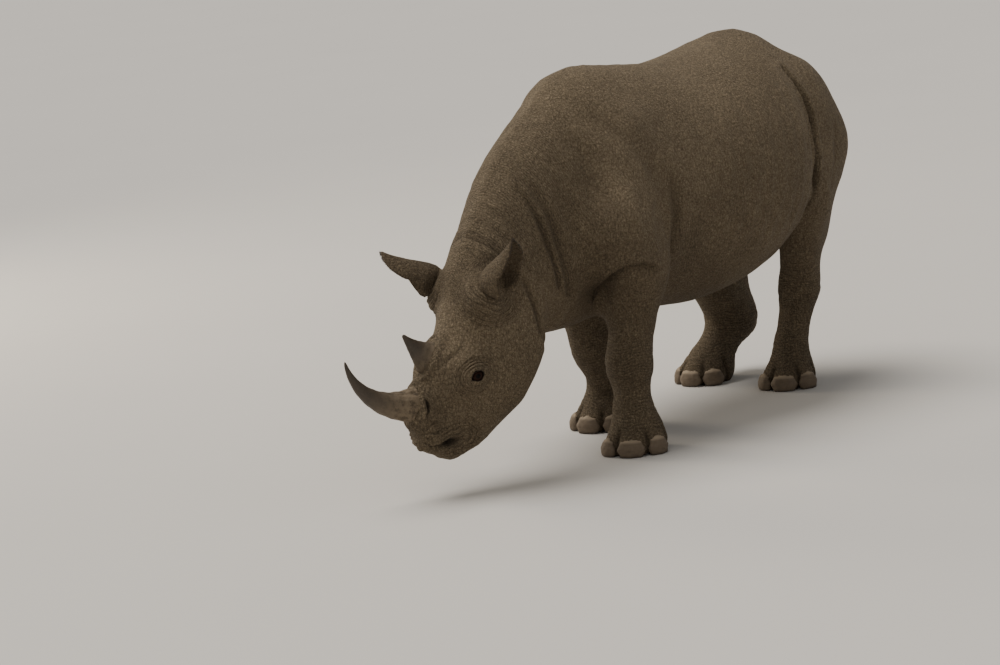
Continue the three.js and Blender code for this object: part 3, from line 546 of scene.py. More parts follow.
def tail_frames(steps):
    """Even places down the tail with their radius and direction."""
    line = np.array(TAIL, float)
    knots = np.concatenate([[0], np.cumsum(lengths(np.diff(line[:, :3], axis=0)))])
    knots /= knots[-1]
    t = np.linspace(0, 1, steps)
    even = np.stack([np.interp(t, knots, line[:, k]) for k in range(4)], 1)
    for _ in range(3):
        even[1:-1] = 0.5 * even[1:-1] + 0.25 * (even[:-2] + even[2:])
    even[:, :3] += ORIGIN
    return even[:, :3], even[:, 3], unit(np.gradient(even[:, :3], axis=0))


def tail_mesh(steps=64, sides=26):
    """The tail's own shape, a little flattened towards its end, with rings like those of its skin."""
    middles, radii, along = tail_frames(steps)
    loops = []
    for step in range(steps):
        across = np.array([1.0, 0, 0])
        down = unit(np.cross(along[step], across))
        across = np.cross(down, along[step])
        ring = 1 + 0.035 * math.sin(step * 2.1) * (step > 12)
        turns = [2 * math.pi * k / sides for k in range(sides)]
        girth = [math.cos(a) * across + TAIL_FLAT * math.sin(a) * down for a in turns]
        loops.append([middles[step] + radii[step] * ring * way for way in girth])
    return loops_mesh("tail_core", loops)


def united(piece, others):
    """Joins closed meshes to a piece as one closed surface."""
    extra = link(others[0], "extra")
    with edited(extra.data, *others):
        pass
    modifier = piece.modifiers.new("join", "BOOLEAN")
    modifier.operation = "UNION"
    modifier.solver = "MANIFOLD"
    modifier.object = extra
    applied(piece)
    bpy.data.objects.remove(extra)
    return piece


# ---------------------------------------------------------------- the sculpted skin

# Spacing of the fine wrinkles, in metres.
SPACING = {
    "eye": 0.007, "lips": 0.0165, "ear": 0.0078, "neck": 0.0088, "poll": 0.0098, "elbow": 0.0105, "leg": 0.0112,
}
# What the material reads at the skin's vertices. Turns count wrinkles, and shares say how strong they are. The
# crease value is painted shade in folds and pits, the inner one painted shade inside the ears, the rim one dark
# wet skin with painted shade in the openings, and the dust value also holds painted light.
KEPT_VALUES = ("crease", "collar", "rim", "inner", "foot", "dusty", "turns_a", "share_a", "turns_b", "share_b")
# Rings round the eye: distance, depth and how much of it is left below the eye.
EYE_RINGS = ((0.038, 0.0032, 0.6), (0.048, 0.005, 0.25), (0.057, 0.0032, 0.6), (0.068, 0.0028, 0.3))
# Lines across the neck: distance down it, depth and a share of painted shade.
NECK_LINES = ((0.856, 0.0034, 0.8), (0.838, 0.0022, 0.6), (0.79, 0.003, 0.4), (0.735, 0.0024, 0.3))
NECK_WAY = (0.0, -0.928, -0.373)  # down the middle of the neck towards the head
CLEFTS = (-27, 27, -80, 80)  # clefts between the toes, in degrees from the way the foot points
RING_SPACING, RIB_SPACING = 0.0235, 0.078
NOSE = (0, -0.586, 0.1)  # where the nostrils are sought from, in the head's axes
HAUNCH = (0.315, 0.89, 0.93)  # the roundest place of each haunch
EYE_ZONE, LID_ZONE, EAR_ZONE = 0.088, 0.052, 0.125  # how far the smaller faces reach from eyes, lids and ears

def within_head(head, back, below):
    """Which places, in the head's own axes, belong to the head."""
    x, y, z = np.abs(head[:, 0]), head[:, 1], head[:, 2]
    return (y < back) & (y > -0.8) & (x < 0.3) & (z > below) & (z < 0.24)


class Sculpt:
    """The skin's vertices with what the shaping steps need."""

    def __init__(self, mesh):
        self.mesh = mesh
        self.net = Net(mesh)
        self.read()
        self.values = {name: np.zeros(self.net.count) for name in KEPT_VALUES}

    def read(self):
        """Measures places and normals, also from the body's own origin and in the head's axes."""
        self.at = places(self.mesh)
        self.out = facing(self.mesh)
        self.own = self.at - ORIGIN
        self.head = to_head(self.at)
        self.on_head = within_head(self.head, 0.1, -0.4)

    def push(self, amount):
        """Moves the skin along its normals, then measures it again."""
        self.place(self.at + self.out * amount[:, None])

    def place(self, points):
        place(self.mesh, points)
        self.read()

    def mark(self, name, amount):
        """Raises one of the kept values."""
        self.values[name] = np.maximum(self.values[name], amount)

    def press(self, where, deep, distance, width, dark):
        """Presses a fold line into the skin, and paints shade into it by the share dark."""
        self.push(where * deep * fold(distance, width))
        self.mark("crease", where * dark * hill(distance, width))

    def wrinkle(self, layer, turns, share):
        """Lays fine parallel wrinkles, one for each whole turn, where they are stronger than earlier ones."""
        stronger = share > self.values["share_" + layer]
        for name, values in (("turns_", turns), ("share_", np.minimum(share, 1))):
            self.values[name + layer][stronger] = values[stronger]

    def keep(self):
        for name, values in self.values.items():
            write_values(self.mesh, name, values if name.startswith("turns") else np.clip(values, 0, 1))


def surface_axes(tree, start, towards, lean):
    """The skin's place seen from start, its outward direction, and two directions along it."""
    start, towards = Vector(start), Vector(towards)
    hit, normal, _, _ = tree.ray_cast(start + towards * 0.6, -towards)
    if hit is None:
        raise RuntimeError("The skin has no surface where a feature belongs")
    out = unit(np.array(normal) + 0.4 * np.array(towards))
    long = unit(np.array(lean) - (np.array(lean) @ out) * out)
    return np.array(hit), out, long, np.cross(out, long)


def eye_frame(side):
    """Middle and radius of the eyeball, and its outward, forward and upward directions."""
    low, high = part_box(f"eye_{side}")
    middle = (np.array(low) + np.array(high)) / 2
    sign = 1 if side == "left" else -1
    out = unit(HEAD_TURN @ np.array([sign * 0.96, -0.1, 0.26]))
    long = HEAD_TURN @ np.array([0, -0.8, 0.6])
    long = unit(long - (long @ out) * out)
    return middle, (high[2] - low[2]) / 2, out, long, unit(np.cross(long, out)) * sign


def shape_eyes(skin, opening, lid):
    """Opens the skin round each eyeball, with thick lids, folds above them and a pouch below."""
    for side in SIDES:
        middle, radius, out, long, high = eye_frame(side)
        offset = skin.at - middle
        a, b, d = offset @ long, offset @ high, offset @ out
        reach = np.hypot(a, b)
        near = (reach < 0.115) & (d > -0.02)
        half_high = np.where(b > 0, 0.86, 0.74) * opening * (1 - 0.2 * np.clip(a / opening, 0, 1) ** 2)
        rho = (np.abs(a / (1.1 * opening)) ** 1.5 + np.abs(b / half_high) ** 1.5) ** (2 / 3)
        ball = np.sqrt(np.maximum(radius**2 - reach**2, 0))
        cap = np.sqrt(np.maximum((radius + lid) ** 2 - reach**2, 0))
        lidded = ramp(0.054, 0.028, reach)
        mound = np.maximum(d, cap) * lidded + d * (1 - lidded)
        above = ramp(-0.012, 0.016, b)
        hollow = 0.007 * hill(reach - 0.058, 0.014) * (0.35 + 0.65 * above)
        hollow = hollow - 0.004 * hill(reach - 0.046, 0.012) * (1 - above)
        rings = 0.0
        oval = np.sqrt(a**2 * 0.72 + b**2 * 1.1) + roughness_of(skin.head, 30.0, 2.0 + middle[0], 2) * 0.0035
        sideways = 0.35 + 0.65 * hill(a / np.maximum(reach, 0.01), 0.75)
        for at, deep, low in EYE_RINGS:
            rings = rings + deep * fold(oval - at, 0.0028) * (low + (1 - low) * above) * sideways
        rings = rings * ramp(1.2, 1.45, rho)
        edge = ramp(0.93, 1.06, rho)
        target = (mound - hollow + rings) * edge + (ball - 0.007) * (1 - edge)
        weight = near * ramp(0.112, 0.07, reach)
        skin.place(skin.at + out * ((target - d) * weight)[:, None])
        # Dark wet skin of the lid edges and painted shade in the eye opening, then painted shade in the ring
        # folds.
        skin.mark("rim", near * ramp(1.24, 1.02, rho))
        skin.mark("crease", near * np.clip(-rings / 0.004, 0, 1) * 0.9)
        skin.wrinkle("b", oval / SPACING["eye"], near * ramp(0.028, 0.036, oval) * ramp(0.11, 0.06, oval) * 0.8)


def shape_nostrils(skin, tree):
    """Pushes a curved slit into each side of the nose, with a low wing behind it and a deep fold in front."""
    for sign in (1, -1):
        start = from_head(NOSE)
        towards = HEAD_TURN @ unit([0.98 * sign, -0.18, 0.1])
        hit, out, long, wide = surface_axes(tree, start, towards, HEAD_TURN @ np.array([0, 0.85, 0.53]))
        offset = skin.at - hit
        a, b, d = offset @ long, offset @ wide * sign, offset @ out
        bend = b - 0.005 * (a / 0.03) ** 2
        near = (np.hypot(a, b) < 0.09) & (np.abs(d) < 0.05)
        rho = np.sqrt((a / 0.025) ** 2 + (bend / 0.0052) ** 2)
        pit = -0.014 * ramp(1.3, 0.45, rho)
        groove = -0.003 * hill(bend, 0.005) * ramp(0.06, 0.03, np.abs(a))
        wing = 0.005 * hill(bend + 0.013, 0.01) * ramp(0.06, 0.028, np.abs(a))
        lip = 0.003 * hill(bend - 0.014, 0.008) * ramp(0.06, 0.028, np.abs(a))
        skin.place(skin.at + out * (near * (pit + groove + wing + lip))[:, None])
        # Painted shade in the nostril pit and its slit.
        skin.mark("rim", near * 0.7 * ramp(1.3, 0.7, rho))
        skin.mark("crease", near * 0.6 * hill(bend, 0.006) * ramp(0.06, 0.03, np.abs(a)))


MOUTH = ((0.064, -0.64, -0.098), (0.069, -0.66, -0.072), (0.067, -0.686, -0.04), (0.057, -0.71, -0.016),
         (0.048, -0.728, 0.014), (0.028, -0.742, 0.04), (0.0, -0.748, 0.05))
# Folds of the face, on both sides: places in the head's own axes, then depth, width and a share of painted
# shade.
FACE_FOLDS = (
    (((0.012, -0.716, 0.078), (0.05, -0.704, 0.052), (0.072, -0.664, 0.022), (0.086, -0.612, -0.012)),
     0.004, 0.0046, 0.8),
    (((0.01, -0.69, 0.098), (0.052, -0.676, 0.078), (0.082, -0.632, 0.044), (0.098, -0.584, 0.012)),
     0.0034, 0.0046, 0.7),
    (((0.06, -0.668, -0.116), (0.076, -0.64, -0.11), (0.086, -0.604, -0.1), (0.096, -0.566, -0.096)),
     0.004, 0.0055, 0.8),
    (((0.07, -0.7, -0.066), (0.082, -0.664, -0.044), (0.09, -0.624, -0.034), (0.1, -0.58, -0.03)),
     0.0032, 0.0046, 0.7),
    (((0.086, -0.54, -0.02), (0.1, -0.5, -0.05), (0.112, -0.45, -0.09)), 0.0024, 0.006, 0.4),
    (((0.06, -0.47, 0.118), (0.086, -0.42, 0.108), (0.104, -0.372, 0.088), (0.124, -0.33, 0.07)),
     0.004, 0.01, 0.5),
    (((0.14, -0.01, -0.02), (0.156, -0.034, -0.07), (0.152, -0.07, -0.12), (0.148, -0.115, -0.17),
      (0.146, -0.165, -0.205), (0.118, -0.205, -0.248), (0.06, -0.23, -0.285)), 0.011, 0.012, 0.9),
    (((0.158, -0.128, 0.0), (0.166, -0.17, 0.03), (0.15, -0.205, 0.07), (0.112, -0.232, 0.106)),
     0.0055, 0.012, 0.6),
)


def mirrored(line, sign):
    """A line on the left side, or the same one on the right."""
    return [(x * sign, y, z) for x, y, z in line]


def shape_mouth(skin):
    """Parts the lips in a shallow line that opens into a gap near its corner, painted dark as shade, over a
    round lower lip.
    """
    for sign in (1, -1):
        distance, along = near_line(skin.head, mirrored(MOUTH, sign))
        near = (distance < 0.1) & skin.on_head
        gap = hill(along - 0.38, 0.19)
        gape = 0.003 + 0.0098 * gap
        deep = 0.004 + 0.022 * gap
        line = -deep * hill(distance, gape) * ramp(0.0, 0.1, along)
        lower = ramp(-0.002, 0.012, -(skin.head[:, 2] + 0.45 * (skin.head[:, 1] + 0.7) + 0.026))
        rolls = 0.0052 * hill(distance - 0.016, 0.009) * ramp(0.02, 0.2, along)
        bulge = 0.006 * hill(distance - 0.022, 0.013) * lower * gap
        skin.push(near * (line + rolls + bulge))
        # Painted shade in the parted line of the lips, darkest in the gap near the corner.
        skin.mark("rim", near * hill(distance, 1.25 * gape) * ramp(0.0, 0.1, along) * (0.15 + 0.85 * gap))
        lips = near * ramp(0.01, 0.018, distance) * ramp(0.09, 0.045, distance)
        lips = lips * ramp(-0.5, -0.6, skin.head[:, 1]) * ramp(0.02, 0.055, np.abs(skin.head[:, 0]))
        wander = 0.004 * roughness_of(skin.head, 22.0, 5.0, 2)
        skin.push(lips * 0.002 * np.cos(2 * np.pi * (distance + wander) / SPACING["lips"]))
        skin.wrinkle("b", (distance + wander) / SPACING["lips"] + 0.5, lips)
    muzzle = skin.on_head * ramp(-0.54, -0.62, skin.head[:, 1])
    skin.push(muzzle * roughness_of(skin.head, 34.0, 7.0, 2) * 0.0018)


def shape_face_folds(skin):
    """Presses the folds of lips, cheeks, brow and ear roots into the head."""
    for line, deep, width, dark in FACE_FOLDS:
        for sign in (1, -1):
            distance, along = near_line(skin.head, mirrored(line, sign))
            near = (distance < 5 * width) & skin.on_head
            taper = np.sin(np.pi * np.clip(along, 0.02, 0.98)) ** 0.6
            skin.press(near * taper, deep, distance, width, dark)


def shape_horn_collars(skin):
    """Raises the rough collar of skin that each horn grows out of."""
    for y, _, _, radius, narrow, *_ in HORNS.values():
        a, b = skin.head[:, 0] / narrow, skin.head[:, 1] - y
        reach = np.hypot(a, b)
        near = skin.on_head & (skin.head[:, 2] > 0.02)
        skin.push(near * 0.0095 * hill(reach - radius - 0.004, 0.012))
        skin.mark("collar", near * ramp(radius + 0.058, radius + 0.004, reach))


def shape_ear_roots(skin):
    """Swells the root of each ear in a crescent, and wraps rings of wrinkles round it, strongest below."""
    for side in SIDES:
        root, _, front, up = ear_axes(side)
        offset = skin.at - (root + up * 0.01)
        reach = lengths(offset)
        drop = offset @ unit(HEAD_TURN @ np.array([0, -1.0, -0.25]))
        off_ear = ramp(0.085, 0.03, offset @ up)
        near = (reach > 0.035) & (reach < 0.2)
        below = ramp(-0.07, 0.05, drop)
        swell = 0.01 * hill(reach - 0.084, 0.026) * below
        total, dark = np.zeros(len(reach)), np.zeros(len(reach))
        uneven = roughness_of(skin.head, 18.0, 3.0, 2)
        for number in range(6):
            at = 0.058 + 0.0165 * number + 0.0008 * number**1.5
            wobble = 0.0035 * np.sin(offset @ front * 38 + number * 1.3) + 0.004 * uneven
            fade = (0.25 + 0.75 * below) * (1 - number / 9)
            total += 0.0028 * fade * fold(reach - at - wobble, 0.004)
            dark = np.maximum(dark, fade * hill(reach - at - wobble, 0.0038))
        skin.push(near * off_ear * (total + swell))
        # Painted shade in the rings of wrinkles round the ear root.
        skin.mark("crease", near * off_ear * dark * 0.6)
        fine = ramp(0.046, 0.062, reach) * ramp(0.185, 0.13, reach) * (0.3 + 0.7 * below)
        skin.wrinkle("a", reach / SPACING["ear"], near * off_ear * fine)


# Long folds of the body, on both sides: the side view's y and z, then depth, width and a share of painted
# shade.
BODY_FOLDS = (
    (((0.56, 1.33), (0.604, 1.2), (0.619, 1.13), (0.613, 1.06), (0.606, 0.977), (0.583, 0.876), (0.54, 0.79),
      (0.48, 0.71)), 0.026, 0.013, 1.0),
    (((0.8, 1.08), (0.77, 0.93), (0.7, 0.81)), 0.005, 0.016, 0.35),
    (((-0.425, 1.06), (-0.418, 0.98), (-0.415, 0.884), (-0.43, 0.8), (-0.44, 0.74), (-0.462, 0.65)),
     0.012, 0.019, 0.6),
    (((-0.74, 1.36), (-0.64, 1.27), (-0.57, 1.15), (-0.48, 1.05), (-0.425, 0.96)), 0.01, 0.042, 0.12),
    (((-1.06, 1.12), (-1.02, 1.0), (-0.995, 0.88), (-0.96, 0.78), (-0.925, 0.69), (-0.89, 0.56)),
     0.013, 0.019, 0.6),
    (((-1.11, 1.11), (-1.082, 1.024), (-1.052, 0.884), (-1.01, 0.76), (-0.976, 0.67), (-0.945, 0.58)),
     0.012, 0.012, 0.8),
    (((-0.82, 1.3), (-0.785, 1.16), (-0.79, 1.01), (-0.812, 0.88), (-0.835, 0.76)), 0.01, 0.034, 0.25),
    (((-0.56, 1.32), (-0.52, 1.18), (-0.53, 1.04)), 0.005, 0.04, 0.12),
)
# The arched step of skin over each elbow, on the left side.
ELBOW = ((0.121, -0.723, 0.612), (0.189, -0.747, 0.673), (0.239, -0.759, 0.707), (0.297, -0.761, 0.743),
         (0.337, -0.742, 0.756), (0.364, -0.706, 0.754), (0.385, -0.663, 0.734), (0.394, -0.607, 0.704))
ELBOW_MIDDLE = (0.3, -0.62, 0.6)
ELBOW_BACK = 0.169  # how far back the right elbow lies behind the left one


def elbows():
    """The step line over each elbow and the middle it arches round, in own coordinates."""
    for sign, back in ((1, 0.0), (-1, ELBOW_BACK)):
        shift = np.array([0, back, 0])
        yield np.array(mirrored(ELBOW, sign)) + shift, np.array(mirrored([ELBOW_MIDDLE], sign))[0] + shift


def shape_elbows(skin):
    """Lets the skin of the shoulder hang over the foreleg in an arched step."""
    for line, middle in elbows():
        distance, along = near_line(skin.own, line)
        arch = np.interp(along, np.linspace(0, 1, len(line)), lengths(line - middle))
        level = distance * np.sign(lengths(skin.own - middle) - arch)
        near = (distance < 0.15) & (np.abs(skin.own[:, 0] - middle[0]) < 0.24)
        taper = ramp(-0.02, 0.06, along) * ramp(1.0, 0.72, along)
        front = 1 + 0.7 * ramp(0.62, 0.15, along)
        hang = 0.018 * front * np.exp(-((level / 0.062) ** 2))
        under = -0.016 * front * np.exp(-((level / 0.036) ** 2))
        over = ramp(-0.006, 0.007, level)
        skin.push(near * taper * (hang * over + under * (1 - over)))
        # Painted shade under the hanging step, darkest towards its front end.
        dark = 0.55 + 0.45 * ramp(0.8, 0.35, along)
        skin.mark("crease", near * taper * dark * hill(level + 0.009, 0.015 * np.sqrt(front)))
        # The armpit: pressed in and filled with painted shade, weaker on the right.
        pit = lengths((skin.own - line[1] + [0, 0.03, 0.035]) * [1.0, 1.0, 0.7])
        share = 1.0 if middle[0] > 0 else 0.3
        skin.push(-0.026 * share * hill(pit, 0.046))
        skin.mark("crease", share * hill(pit, 0.056))


def shape_body_folds(skin):
    """Presses the long folds of flank, shoulder, rump and neck into the body."""
    flat = np.stack([skin.own[:, 1], skin.own[:, 2]], 1)
    away = ~skin.on_head | (skin.head[:, 1] > 0.02)
    for line, deep, width, dark in BODY_FOLDS:
        distance, along = near_line(flat, line)
        near = (distance < 4 * width) & away & (np.abs(skin.own[:, 0]) > 0.05)
        side_on = ramp(0.25, 0.6, np.abs(skin.out[:, 0]))
        taper = np.sin(np.pi * np.clip(along, 0.03, 0.97)) ** 0.5
        skin.press(near * side_on * taper, deep, distance, width, dark)


def lay_wrinkles(skin):
    """Lays the level wrinkles of the neck and poll, and the upright ones behind the elbows."""
    down = skin.own @ np.array(NECK_WAY)
    head_y, x = skin.head[:, 1], np.abs(skin.head[:, 0])
    on_neck = ramp(-0.01, 0.03, head_y) * ramp(-0.76, -0.9, skin.own[:, 1])
    skin.wrinkle("b", down / SPACING["neck"], on_neck * 0.9)
    for at, deep, dark in NECK_LINES:
        wander = 0.004 * np.sin(skin.own[:, 0] * 31)
        skin.press(on_neck * ramp(0.74, 0.88, skin.own[:, 2]), deep, down - at - wander, 0.0065, dark)
    poll = skin.on_head * ramp(0.155, 0.1, x) * ramp(0.03, 0.07, skin.head[:, 2]) * ramp(-0.24, -0.15, head_y)
    skin.wrinkle("b", (head_y + 0.9 * x**2 / 0.15) / SPACING["poll"], poll * ramp(0.035, 0.0, head_y) * 0.8)
    for sign, back in ((1, 0.0), (-1, ELBOW_BACK)):
        gap = np.hypot(skin.own[:, 1] + 0.345 - back, 0.8 * (skin.own[:, 2] - 0.745))
        near = (skin.own[:, 0] * sign > 0.1) * (skin.out[:, 0] * sign > 0.2)
        skin.wrinkle("b", skin.own[:, 1] / SPACING["elbow"], near * ramp(0.13, 0.05, gap) * 0.9)


def shape_body_form(skin):
    """Gives the trunk its low ribs, and all of the skin its slight unevenness."""
    own = skin.own
    on_side = ramp(0.35, 0.75, np.abs(skin.out[:, 0])) * ramp(-0.3, -0.05, own[:, 1])
    on_side = on_side * ramp(0.62, 0.42, own[:, 1]) * ramp(0.6, 0.8, own[:, 2]) * ramp(1.38, 1.2, own[:, 2])
    phase = (own[:, 1] + 0.34 * (1.4 - own[:, 2])) / RIB_SPACING
    ribs = 0.0026 * np.sin(2 * np.pi * phase) * on_side
    uneven = roughness_of(own, 3.2, 1.0, 3) * 0.0042 + roughness_of(own, 11.0, 4.0, 2) * 0.0014
    calm = np.where(skin.on_head, 0.4, 1.0)
    haunch = lengths((np.abs(own) - HAUNCH) * [1.0, 1.0, 0.65])
    skin.push(ribs + uneven * calm + 0.016 * hill(haunch, 0.1) * (own[:, 1] > 0))


def shape_leg_rings(skin):
    """Wraps each lower leg in level wrinkles, closest and deepest over the wrist, hock and fetlock."""
    for foot in FEET:
        line, _ = LEG_LINES[foot]
        distance, _ = near_line(skin.own, line)
        low = skin.own[:, 2]
        near = (distance < 0.17) & (low < 0.62)
        joint, ankle = line[1][2], line[2][2]
        strong = 0.35 + 0.65 * hill(low - joint, 0.085) + 0.65 * hill(low - ankle + 0.03, 0.06)
        wander = 0.006 * np.sin(skin.own[:, 0] * 41 + skin.own[:, 1] * 23 + line[0][0] * 9)
        spaced = (low + wander) / RING_SPACING
        rings = -ramp(0.55, 1.0, np.abs((spaced % 1) - 0.5) * 2)
        fade = ramp(0.055, 0.085, low) * ramp(0.6, 0.44, low)
        skin.push(near * fade * strong * 0.0026 * (rings + 0.35))
        # Painted shade in the rings.
        skin.mark("crease", near * fade * strong * -rings * 0.3)
        share = near * fade * np.minimum(0.45 + 0.6 * strong, 1.0) * 0.95
        skin.wrinkle("a", (low + wander) / SPACING["leg"], share)


def shape_feet(skin):
    """Swells the toes over their nails, and parts them."""
    for foot in FEET:
        line, toes = LEG_LINES[foot]
        middle = np.array(line[3][:2])
        offset = skin.own[:, :2] - middle
        reach = lengths(offset)
        angle = np.degrees(np.arctan2(offset[:, 0], -offset[:, 1])) - toes
        low = skin.own[:, 2]
        near = (reach < 0.2) & (low < 0.14)
        fade = ramp(0.125, 0.075, low)
        for split in CLEFTS:
            gap = np.radians(angle - split) * reach
            skin.push(near * fade * -0.0095 * hill(gap, 0.0075) * (reach > 0.05))
            # Painted shade in the clefts between the toes.
            skin.mark("crease", near * fade * 0.9 * hill(gap, 0.009) * (reach > 0.05))
        skin.mark("foot", near * ramp(0.1, 0.03, low))


def value_hide(skin):
    """Marks painted shade inside each ear, and the dust together with painted light: lighter on the skin that
    faces up, most on the back and head, and none on the ears, which leaves them dark as painted shade.
    """
    high = ramp(0.25, 1.25, skin.own[:, 2])
    # Dust and painted light: lighter on upward faces and high up, darker beneath.
    dusty = 0.62 * ramp(-0.75, 1.0, skin.out[:, 2]) + 0.38 * np.maximum(high, 0.8 * skin.on_head)
    for side in SIDES:
        root, width, front, up = ear_axes(side)
        offset = skin.at - root
        a, b, level = offset @ width, offset @ front, offset @ up
        along, beside = level / EAR_LENGTH, np.hypot(a, b)
        inside = (along > -0.1) & (along < 1.05) & (beside < 0.11)
        facing_in = -(skin.out @ front * b + skin.out @ width * a) / np.maximum(beside, 0.004)
        # Painted shade on the skin that faces into the ear cup.
        skin.mark("inner", inside * ramp(0.0, 0.6, facing_in) * ramp(-0.02, 0.08, along))
        # Leaving the dust off the ears darkens them as painted shade.
        dusty = dusty * (1 - ramp(0.0, 0.05, level) * ramp(0.34, 0.28, level) * ramp(0.12, 0.09, beside))
    skin.mark("dusty", dusty)


def head_zone(mesh, levels):
    """Which vertices lie near the places of the head that need small faces."""
    points = places(mesh)
    head = to_head(points)
    skin_of_head = within_head(head, 0.06, -0.38)
    if levels == "head":
        fine = skin_of_head | (points[:, 2] < 0.105)
        for line, _ in elbows():
            fine |= near_line(points - ORIGIN, line)[0] < 0.045
        flat = (points - ORIGIN)[:, 1:]
        for line, _, _, dark in BODY_FOLDS:
            fine |= (dark > 0.7) & (near_line(flat, line)[0] < 0.045) & (np.abs(points[:, 0]) > 0.1)
        return fine
    if levels == "face":
        face = skin_of_head & (head[:, 1] < -0.555)
        for side in SIDES:
            face |= lengths(points - eye_frame(side)[0]) < EYE_ZONE
            face |= lengths(points - ear_axes(side)[0]) < EAR_ZONE
        return face
    close = np.zeros(len(points), bool)
    for side in SIDES:
        close |= lengths(points - eye_frame(side)[0]) < LID_ZONE
    return close


def smooth_values(mesh, rounds, zone=None):
    """Relaxes a mesh, or only the part of it that is marked."""
    net = Net(mesh)
    weight = 1.0 if zone is None else net.evened(zone.astype(float), 2)
    place(mesh, net.relaxed(places(mesh), rounds, weight))


SHAPES_OF_BODY = (
    shape_body_form, shape_body_folds, shape_elbows, shape_leg_rings, shape_feet, shape_ear_roots,
    shape_horn_collars,
)
SHAPES_OF_FACE = (shape_mouth, shape_face_folds, lay_wrinkles)


class RHINO_OT_skin(bpy.types.Operator):
    """One skin over the trunk, neck, head, legs, ears and tail, with its folds"""

    bl_idname = "rhino.skin"
    bl_label = "Skin"

    def execute(self, context):
        sizes = context.scene.rhino_skin
        skin_piece = link(plain_copy("skin", FLESH + NAILS + EYES), "skin")
        remeshed(skin_piece, sizes.grid)
        smooth_values(skin_piece.data, sizes.smoothing)
        for level in ("head", "face"):
            refined(skin_piece.data, head_zone(skin_piece.data, level))
            smooth_values(skin_piece.data, 3, head_zone(skin_piece.data, level))
        united(skin_piece, [ear_mesh("left"), ear_mesh("right"), tail_mesh()])
        mesh = skin_piece.data
        self.soften_roots(mesh)
        refined(mesh, head_zone(mesh, "eye"))
        smooth_values(mesh, 2, head_zone(mesh, "eye"))
        skin = Sculpt(mesh)
        tree = BVHTree.FromPolygons([tuple(p) for p in skin.at], [tuple(f.vertices) for f in mesh.polygons])
        for shape in SHAPES_OF_BODY:
            shape(skin)
        shape_nostrils(skin, tree)
        for shape in SHAPES_OF_FACE:
            shape(skin)
        shape_eyes(skin, sizes.eye_opening, sizes.lid)
        value_hide(skin)
        skin.keep()
        self.settle(mesh)
        finish(skin_piece, skin_finish(context.scene.rhino_colours), "skin", *FLESH, *EARS, "tail")
        return {"FINISHED"}

    def soften_roots(self, mesh):
        """Rounds the seam where ears and tail grow out of the skin."""
        net = Net(mesh)
        points = places(mesh)
        weight = np.zeros(len(points))
        for side in SIDES:
            root, _, _, up = ear_axes(side)
            level = (points - root) @ up
            near = lengths(points - root - 0.01 * up)
            weight = np.maximum(weight, ramp(0.085, 0.05, near) * ramp(0.05, 0.02, level))
        root = np.array(TAIL[1][:3]) + ORIGIN
        weight = np.maximum(weight, ramp(0.13, 0.07, lengths(points - root)))
        points = net.relaxed(points, 8, weight, shrink=True)
        hips = np.abs(points - ORIGIN - [0, 0.87, 1.1]) @ np.diag([1.0, 1.0, 0.7]) - [0.3, 0, 0]
        place(mesh, net.relaxed(points, 40, ramp(0.2, 0.09, lengths(hips)), shrink=True))

    def settle(self, mesh):
        """Keeps the soles on the floor and turns every face into triangles."""
        points = places(mesh)
        points[:, 2] = np.maximum(points[:, 2], 0.0)
        place(mesh, np.clip(points, *(np.array(corner) for corner in CAD_BOX)))
        with edited(mesh) as shell:
            bmesh.ops.triangulate(shell, faces=shell.faces)
            bmesh.ops.recalc_face_normals(shell, faces=shell.faces)
        mesh.shade_smooth()


def wrinkle_lines(m, layer, wander):
    """1 in the fine wrinkles of one layer and 0 between them, bent by noise and broken here and there."""
    turns = m.value_at("turns_" + layer) + (wander - 0.5) * 2.4
    away = (turns.maths("FRACT", turns) - 0.5) * 2
    tooth = away.maths("ABSOLUTE", away)
    return tooth.between(0.42, 0.98) * m.value_at("share_" + layer)


